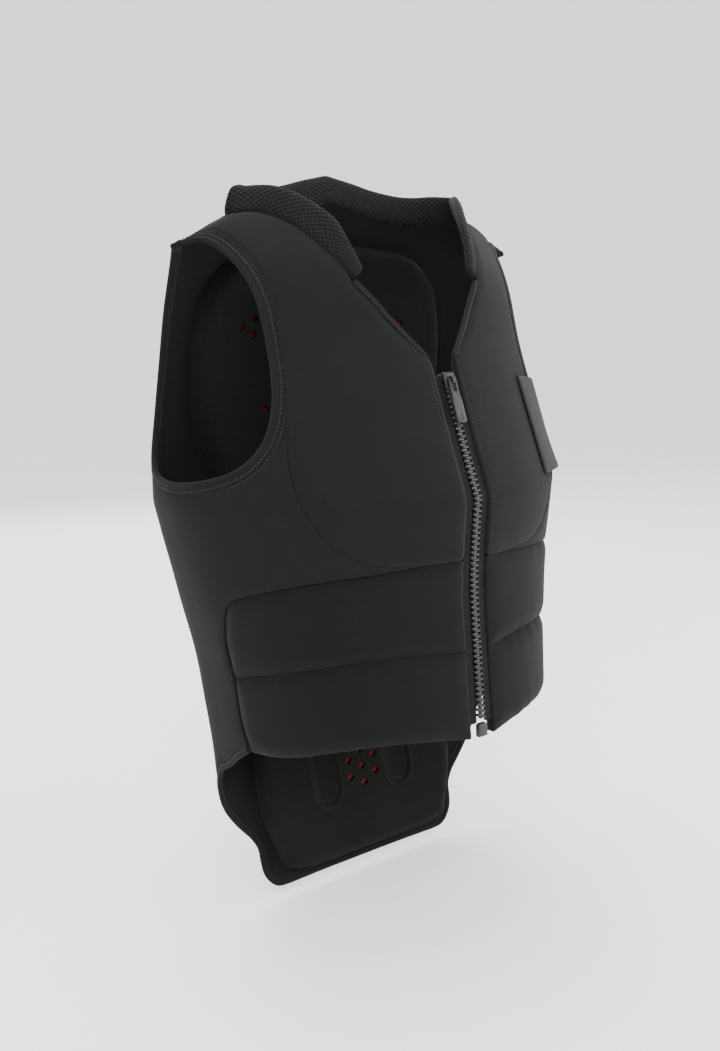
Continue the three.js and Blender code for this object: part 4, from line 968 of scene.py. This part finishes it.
# The panels
chest = lay_cloth("chest_pad_left", [chest_grid()], chest_outer, chest_inner,
                  [softshell, lining])
side = lay_cloth("side_cloth_left", side_grids(), side_outer, side_inner, [softshell, lining])
belly_line = np.concatenate([belly_wedge, belly_run[1:]])
upper = belly_grid(belly_line, pad_side_upper, pad_middle, belly_top, middle_fine)
lower = belly_grid(pad_middle, pad_side_lower, hem_front, middle_fine)
# the belly pads use the darker copy of the softshell knit, which is painted shade
belly_upper = lay_cloth("belly_pad_upper_skin_left", [upper], belly_outer(31),
                        belly_inner, [pad_cloth, lining])
belly_lower = lay_cloth("belly_pad_lower_skin_left", [lower], belly_outer(37),
                        belly_inner, [pad_cloth, lining])
back = lay_cloth("back_cloth", [back_grid()], back_outer, back_inner,
                 [softshell, lining], True)

armhole_ring = [
    (1.06, 1.9), (0.93, 1.2), (0.84, 0.95), (0.62, 0.95), (0.53, 1.35), (0.45, 1.0), (0.28, 0.55),
    (0.1, 0.95), (0.0, 2.3), (0.0, 3.6), (0.1, 4.9), (0.3, 5.5), (0.6, 5.3), (0.93, 5.1), (1.06, 4.7),
]
arm_band = band("armhole_edge_left", arm_fine, arm_seam_fine, armhole_ring, [binding])
hem_ring = [
    (1.06, 1.7), (0.9, 1.15), (0.75, 0.9), (0.45, 0.6), (0.15, 0.9), (0.0, 2.0), (0.0, 3.2),
    (0.15, 4.5), (0.45, 4.9), (0.9, 4.7), (1.06, 4.3),
]
hem = band("hem_edge", hem_fine, hem_seam_fine, hem_ring, [binding], is_centred=True)
neck_band = band("neck_edge_left", neck_fine, neck_seam_fine, hem_ring, [binding])


def neck_collar():
    """The padded mesh band round the neck, fullest round the nape, with rounded front ends."""
    steps = 12
    front = evenly(evenly(neckline, 24, COLLAR_START, 1), 7)
    line = np.concatenate([front, evenly(nape_line, steps - 4)[1:]])
    normals = frame_at(line[:, 0], line[:, 1])[2]
    spots = vest(line[:, 0], line[:, 1])
    runs = unit(np.concatenate([spots[1:], spots[-1:]]) - np.concatenate([spots[:1], spots[:-1]]))
    runs[-1] = (-1, 0, 0)
    angles = np.arange(22) / 22 * 2 * math.pi
    ca, sa = np.cos(angles), np.sin(angles)
    rings = []
    for i, (spot, normal, run) in enumerate(zip(spots, normals, runs)):
        inward = unit(np.cross(normal, run))
        share = i / (len(line) - 1)
        stand = math.radians(12 + 38 * min(share * 2, 1))
        rise = inward * math.cos(stand) + normal * math.sin(stand)
        thick = np.cross(rise, run)
        fill = min(0.45 + share * 4, 1)
        width = COLLAR_WIDTH * fill + 1.6
        centre = spot + normal * (0.5 - COLLAR_THICKNESS / 2) + rise * (width / 2 - 0.8)
        high = np.sign(ca) * np.abs(ca) ** 0.8 * width / 2
        deep = np.sign(sa) * np.abs(sa) ** 0.85 * COLLAR_THICKNESS / 2 * (0.7 + 0.3 * fill)
        rings.append(centre + high[:, None] * rise + deep[:, None] * thick)
    rings[-1][:, 0] = 0
    fine = finer(np.array(rings).reshape(len(rings), -1), FINE).reshape(-1, 22, 3)
    tips = []
    for t in (0.02, 0.2, 0.5, 0.8):
        middle = fine[0].mean(0)
        scale = math.sqrt(1 - (1 - t) ** 2)
        tips.append(middle + (fine[0] - middle) * scale - runs[0] * (1 - t) * 3.4)
    half = np.concatenate([tips, fine])
    whole = np.concatenate([half, half[-2::-1] * [-1, 1, 1]])
    return tube("neck_collar", whole, [spacer_mesh])


collar = neck_collar()
for obj in (chest, side, belly_upper, belly_lower, back, arm_band, hem, neck_band, collar):
    rounded(obj)

MIRRORED = (
    (chest, "softshell", "chest_panel"), (side, "softshell", "side_panel"),
    (belly_upper, "pad_cloth", "belly_pad_upper"), (belly_lower, "pad_cloth", "belly_pad_lower"),
    (arm_band, "binding", "armhole_binding"), (neck_band, "binding", "neck_binding"),
)
for obj, slot, node in MIRRORED:
    twin = mirror_of(obj, obj.name.replace("left", "right"))
    settle(obj, slot, node + "_left")
    settle(twin, slot, node + "_right")
settle(back, "softshell", "back_panel")
settle(hem, "binding", "hem_binding")
settle(collar, "spacer_mesh", "collar_band")

# The foam protector and its perforated cover
half_grid = protector_grid()
core_grid = finer_grid(half_grid, 4, 5)[1:-1, 1:]
core = lay_cloth("protector_foam", [core_grid], lambda d, r, p: CORE_DEPTH + 0 * d,
                 lambda d, r, p: CORE_DEPTH + CORE_THICKNESS - 0.2 + 0 * d, [lining, red_foam], True)
cover = lay_cloth("protector_skin", [finer_grid(half_grid, 10, 16)], cover_outer, cover_inner,
                  [lining], True)


def back_place(x, down):
    """A place and its outward normal on the back, from millimetres across and down."""
    level = level_at(abs(x), -down)
    around = 2.0 if abs(x) < 0.5 else around_at(abs(x), level, True)
    spot, normal = vest(around, level), frame_at(around, level)[2]
    turn = np.array([-1 if x < 0 else 1, 1, 1])
    return spot * turn, normal * turn


def perforate(obj):
    """Cuts the diamond lattice through the cover."""
    points, faces = [], []
    for across, down, count, column_step, row_step in DIAMOND_GROUPS:
        for column in (-1, 0, 1):
            for row in range(count - abs(column)):
                rise = (row + abs(column) / 2) * row_step
                spot, normal = back_place(across + column * column_step, down * BACK_LENGTH - rise)
                side = unit(np.cross([0, 0, 1.0], normal))
                up = np.cross(normal, side)
                first = len(points)
                for depth in (COVER_DEPTH - 1.2, COVER_DEPTH + COVER_THICKNESS + 4):
                    for a, b in ((1.05, 0), (0, 0.92), (-1.05, 0), (0, -0.92)):
                        out = (side * a + up * b) * DIAMOND_REACH
                        points.append(spot - normal * depth + out)
                for k in range(4):
                    n = (k + 1) % 4
                    faces.append((first + k, first + n, first + 4 + n, first + 4 + k))
                faces.append(tuple(first + k for k in range(4)))
                faces.append(tuple(first + 4 + k for k in range(4)))
    cutter = piece("diamonds", points, faces, None, [lining], False)
    cut = obj.modifiers.new("cut", "BOOLEAN")
    cut.operation, cut.object, cut.solver = "DIFFERENCE", cutter, "EXACT"
    apply(obj, cut)
    bpy.data.objects.remove(cutter)


perforate(cover)
bpy.context.view_layer.objects.active = cover
cover.select_set(True)
bpy.ops.object.shade_smooth_by_angle(angle=math.radians(50))
cover.select_set(False)
settle(core, "foam", "protector_core")
settle(cover, "lining", "protector_cover")

# The zip's middle line
zip_low, zip_high = FRONT_HEM[0][1], FRONT_NECKLINE[0][1] - 0.012
zip_line = vest(0, np.linspace(zip_high, zip_low, 500))
zip_run = np.concatenate([[0], np.cumsum(np.linalg.norm(np.diff(zip_line, axis=0), axis=1))])
ZIP_LENGTH = zip_run[-1]
CHAIN_TOP, CHAIN_END = SLIDER_LENGTH * 0.35, ZIP_LENGTH - BOX_LENGTH - 0.4


def zip_place(distance):
    """The place, way down and outward normal of the zip's middle line."""
    at = lambda s: np.array([np.interp(s, zip_run, zip_line[:, k]) for k in range(3)])
    down = unit(at(min(distance + 1, ZIP_LENGTH)) - at(max(distance - 1, 0)))
    return at(distance), down, np.cross([-1.0, 0, 0], down)


def zip_tape(side):
    """One woven tape, with a bead where the teeth grip it."""
    ring = [(4.2, 0.0), (4.9, -0.35), (5.7, 0.0), (8.5, 0.05), (11.9, 0.0), (11.9, 1.2), (8.5, 1.15),
            (5.7, 1.2), (4.9, 1.5), (4.2, 1.2)]
    rings = []
    for distance in np.linspace(2, CHAIN_END, 120):
        spot, _, normal = zip_place(distance)
        rings.append([(side * x, *(spot - normal * (TAPE_RECESS + d))[1:]) for x, d in ring])
    name = "left" if side > 0 else "right"
    obj = rounded(tube(f"zip_tape_cloth_{name}", np.array(rings), [tape_cloth]))
    settle(obj, "zip_tape", f"zip_tape_{name}")


def edit_mesh(obj):
    bpy.ops.object.select_all(action="DESELECT")
    obj.select_set(True)
    bpy.context.view_layer.objects.active = obj
    bpy.ops.object.mode_set(mode="EDIT")
    bpy.ops.mesh.select_all(action="SELECT")


def leave_edit():
    bpy.ops.object.mode_set(mode="OBJECT")
    bpy.ops.object.select_all(action="DESELECT")


def one_tooth():
    """A moulded tooth: a block on the tape, a waisted neck, and a rounded head at the far end."""
    long, wide, high = ROW_OUTER + TOOTH_REACH, TOOTH_PITCH / 2 - 0.35, TOOTH_HEIGHT
    bpy.ops.mesh.primitive_cube_add(size=1, location=(0, 0, 0))
    tooth = bpy.context.object
    edit_mesh(tooth)
    bpy.ops.transform.resize(value=(long, wide, high))
    bpy.ops.mesh.subdivide(number_cuts=3)
    leave_edit()
    for corner in tooth.data.vertices:
        share = (corner.co.x + long / 2) / long
        head = math.exp(-(((share - 0.12) / 0.16) ** 2))
        waist = math.exp(-(((share - 0.42) / 0.14) ** 2))
        corner.co.y *= 1 + 0.12 * head - 0.3 * waist
        corner.co.z *= 0.86 + 0.14 * math.exp(-(((share - 0.75) / 0.35) ** 2)) + 0.1 * head
    spots = np.array([v.co[:] for v in tooth.data.vertices])
    faces = [tuple(f.vertices) for f in tooth.data.polygons]
    bpy.data.objects.remove(tooth)
    return spots, faces


def zip_teeth(side, tooth):
    """One row of moulded teeth, copied down the chain."""
    spots, tooth_faces = tooth
    count = int((CHAIN_END - CHAIN_TOP) / TOOTH_PITCH)
    wide = TOOTH_PITCH / 2 - 0.35
    points, faces = [], []
    for i in range(count):
        distance = CHAIN_TOP + i * TOOTH_PITCH + (TOOTH_PITCH / 2 if side > 0 else 0) + wide / 2
        place, down, normal = zip_place(distance)
        place = place - normal * (TAPE_RECESS - 0.1 * TOOTH_HEIGHT)
        first = len(points)
        middle = (ROW_OUTER - TOOTH_REACH) / 2
        for x, y, z in spots:
            points.append(place + np.array([side * (middle + x), 0, 0]) + down * y + normal * z)
        faces += [tuple(first + k for k in face) for face in tooth_faces]
    name = "left" if side > 0 else "right"
    obj = piece(f"zip_chain_{name}", points, faces, None, [teeth_plastic])
    settle(obj, "zip_plastic", f"zip_teeth_{name}")


for side_sign in (1, -1):
    zip_tape(side_sign)
moulded_tooth = one_tooth()
for side_sign in (1, -1):
    zip_teeth(side_sign, moulded_tooth)


def moulded(node, name, edge, body, material):
    """A moulded piece from its solid: doubles merged, flat faces joined, edges softened."""
    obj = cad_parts[node].copy()
    obj.data = obj.data.copy()
    for key in list(obj.keys()):
        del obj[key]
    obj.name = obj.data.name = name
    obj.parent = None
    bpy.context.scene.collection.objects.link(obj)
    edit_mesh(obj)
    bpy.ops.mesh.remove_doubles(threshold=1e-5)
    bpy.ops.mesh.dissolve_limited(angle_limit=math.radians(1))
    leave_edit()
    soften = obj.modifiers.new("soften", "BEVEL")
    soften.width, soften.segments, soften.limit_method = edge, 2, "ANGLE"
    soften.angle_limit = math.radians(32)
    apply(obj, soften)
    obj.data.materials.clear()
    obj.data.materials.append(material)
    obj.select_set(True)
    bpy.context.view_layer.objects.active = obj
    bpy.ops.object.shade_smooth_by_angle(angle=math.radians(40))
    obj.select_set(False)
    return settle(obj, "zip_plastic", node, body=body)


moulded("zip_slider", "zip_slider_body", 0.0003, "vest", pull_plastic)
moulded("zip_pull", "zip_pull_tab", 0.00035, "pull", pull_plastic)
moulded("zip_bottom_box", "zip_box", 0.0006, "vest", pull_plastic)


def chest_badge():
    """The plain flexible patch, its lower outer corner standing a little proud."""
    u, v = np.meshgrid(np.linspace(0, 1, 22), np.linspace(0, 1, 36))
    grid = np.stack([0.375 + 0.15 * u, 0.02 + 0.27 * v], -1)
    lift = (3 * u * np.maximum(0, 1 - 2 * v) ** 2).ravel()
    dome = lambda d: 0.9 * (1 - np.clip(d / 3.5, 0, 1)) ** 2
    outer = lambda d, r, p: dome(d) - 3.2 - lift + 0.35 * np.exp(-(((d - 4.5) / 0.7) ** 2))
    return lay_cloth("plain_patch", [grid], outer, lambda d, r, p: -0.8 - lift, [patch_rubber])


settle(chest_badge(), "patch", "chest_patch")

# Stitching
rows = []
for side_sign in (1, -1):
    for distance, depth in ((7.4, 0.95), (10.9, 2.0)):
        line = finer(shifted(armhole, -distance), 4)
        rows.append(laid_line(np.concatenate([line, line[:1]]), depth, side_sign))
stitches("armhole_stitches", rows)
rows = []
for side_sign in (1, -1):
    rows.append(laid_line(finer(shifted(hem_edge, 4.2), 4), 0.75, side_sign))
    rows.append(laid_line(finer(shifted(v_neck, -3.4), 6), 0.75, side_sign))
stitches("hem_stitches", rows)
rows = []
for side_sign in (1, -1):
    levels = np.linspace(neck_seam[0, 1] - 0.02, CHEST_SEAM[0][1] + 0.015, 40)
    line = np.array([(around_at(ZIP_HALF_WIDTH + 4.6, level, False), level) for level in levels])
    rows.append(laid_line(line, tucked(CHEST_PINCH, SEAM_ROLL)(4.6) + 0.65, side_sign))
stitches("zip_edge_stitches", rows)


def back_row(path, depth):
    """A stitch row on the inside of the back, along (across, down) points in mm."""
    spots, normals = zip(*[back_place(x, y) for x, y in path])
    return np.array(spots) - np.array(normals) * depth, -np.array(normals)


rows = []
for side_sign in (1, -1):
    for inset, depth in ((-1.2, 0.35), (4.6, CHANNEL_DEPTH + 0.1)):
        half = CHANNEL_WIDTH / 2 - inset
        end = CHANNEL_END * BACK_LENGTH - CHANNEL_WIDTH / 2
        turn = np.linspace(0, math.pi, 24)
        path = [(-half, y) for y in np.linspace(CHANNEL_TOP * BACK_LENGTH, end, 30)]
        path += [(-half * math.cos(t), end + half * math.sin(t)) for t in turn[1:-1]]
        path += [(half, y) for y in np.linspace(end, CHANNEL_TOP * BACK_LENGTH, 30)]
        path = [(side_sign * CHANNEL_OFFSET + x, y) for x, y in path]
        rows.append(back_row(path, COVER_DEPTH + COVER_THICKNESS - depth))
stitches("channel_stitches", rows, 3.2, 2.3, 0.32)


# Studio
def camera():
    data = bpy.data.cameras.new("view")
    data.sensor_fit, data.sensor_width, data.lens = "HORIZONTAL", 36, 55.86
    obj = bpy.data.objects.new("view", data)
    right, up = Vector((0.79247, -0.6091, -0.03142)), Vector((0.1285, 0.11638, 0.98486))
    turn = Matrix((right, up, right.cross(up))).transposed().to_4x4()
    obj.matrix_world = Matrix.Translation((-0.5917, -0.77273, -0.06574)) @ turn
    bpy.context.scene.collection.objects.link(obj)
    bpy.context.scene.camera = obj


def lamp(name, place, target, size, power):
    data = bpy.data.lights.new(name, "AREA")
    data.shape, data.size, data.energy = "DISK", size, power
    obj = bpy.data.objects.new(name, data)
    obj.location = place
    obj.rotation_euler = (Vector(target) - Vector(place)).to_track_quat("-Z", "Y").to_euler()
    bpy.context.scene.collection.objects.link(obj)


def pale_floor():
    """A pale floor that sweeps up far off, so no edge shows behind the vest."""
    profile = [(0, 0), (1.5, 0), (3.5, 0), (4.6, 0.12), (5.5, 0.6), (6.1, 1.5), (6.4, 3.2)]
    low = cad_box[0][2] - 0.012
    points, faces = [Vector((0, 0, low))], []
    for radius, rise in profile[1:]:
        for k in range(48):
            turn = 2 * math.pi * k / 48
            points.append(Vector((radius * math.cos(turn), radius * math.sin(turn), low + rise)))
    for k in range(48):
        n = (k + 1) % 48
        faces.append((0, 1 + k, 1 + n))
        for ring in range(len(profile) - 2):
            a = 1 + ring * 48
            faces.append((a + k, a + 48 + k, a + 48 + n, a + n))
    mesh = bpy.data.meshes.new("pale_floor")
    mesh.from_pydata(points, [], faces)
    mesh.polygons.foreach_set("use_smooth", [True] * len(mesh.polygons))
    obj = bpy.data.objects.new("pale_floor", mesh)
    bpy.context.scene.collection.objects.link(obj)
    material, tree, shader = begin("matt_white_paper", 0.9, Specular_IOR_Level=0.1)
    tree.links.new(tint(tree, "#f0f0ee", "#f7f7f5", grain(tree, 400)), shader.inputs["Base Color"])
    mesh.materials.append(material)


camera()
pale_floor()
lamp("key", (-1.5, -1.7, 1.3), (0, 0, -0.2), 1.8, 80)
lamp("fill", (1.7, -1.5, 0.3), (0, 0, -0.25), 2.0, 38)
lamp("top", (0.1, 0.3, 2.1), (0, 0, -0.2), 1.6, 50)
lamp("rear", (0.6, 2.0, 0.8), (0, 0, -0.2), 1.6, 34)
world = bpy.data.worlds.new("studio")
bpy.context.scene.world = world
world.use_nodes = True
world.node_tree.nodes["Background"].inputs[0].default_value = (1, 1, 1, 1)
world.node_tree.nodes["Background"].inputs[1].default_value = 1.6
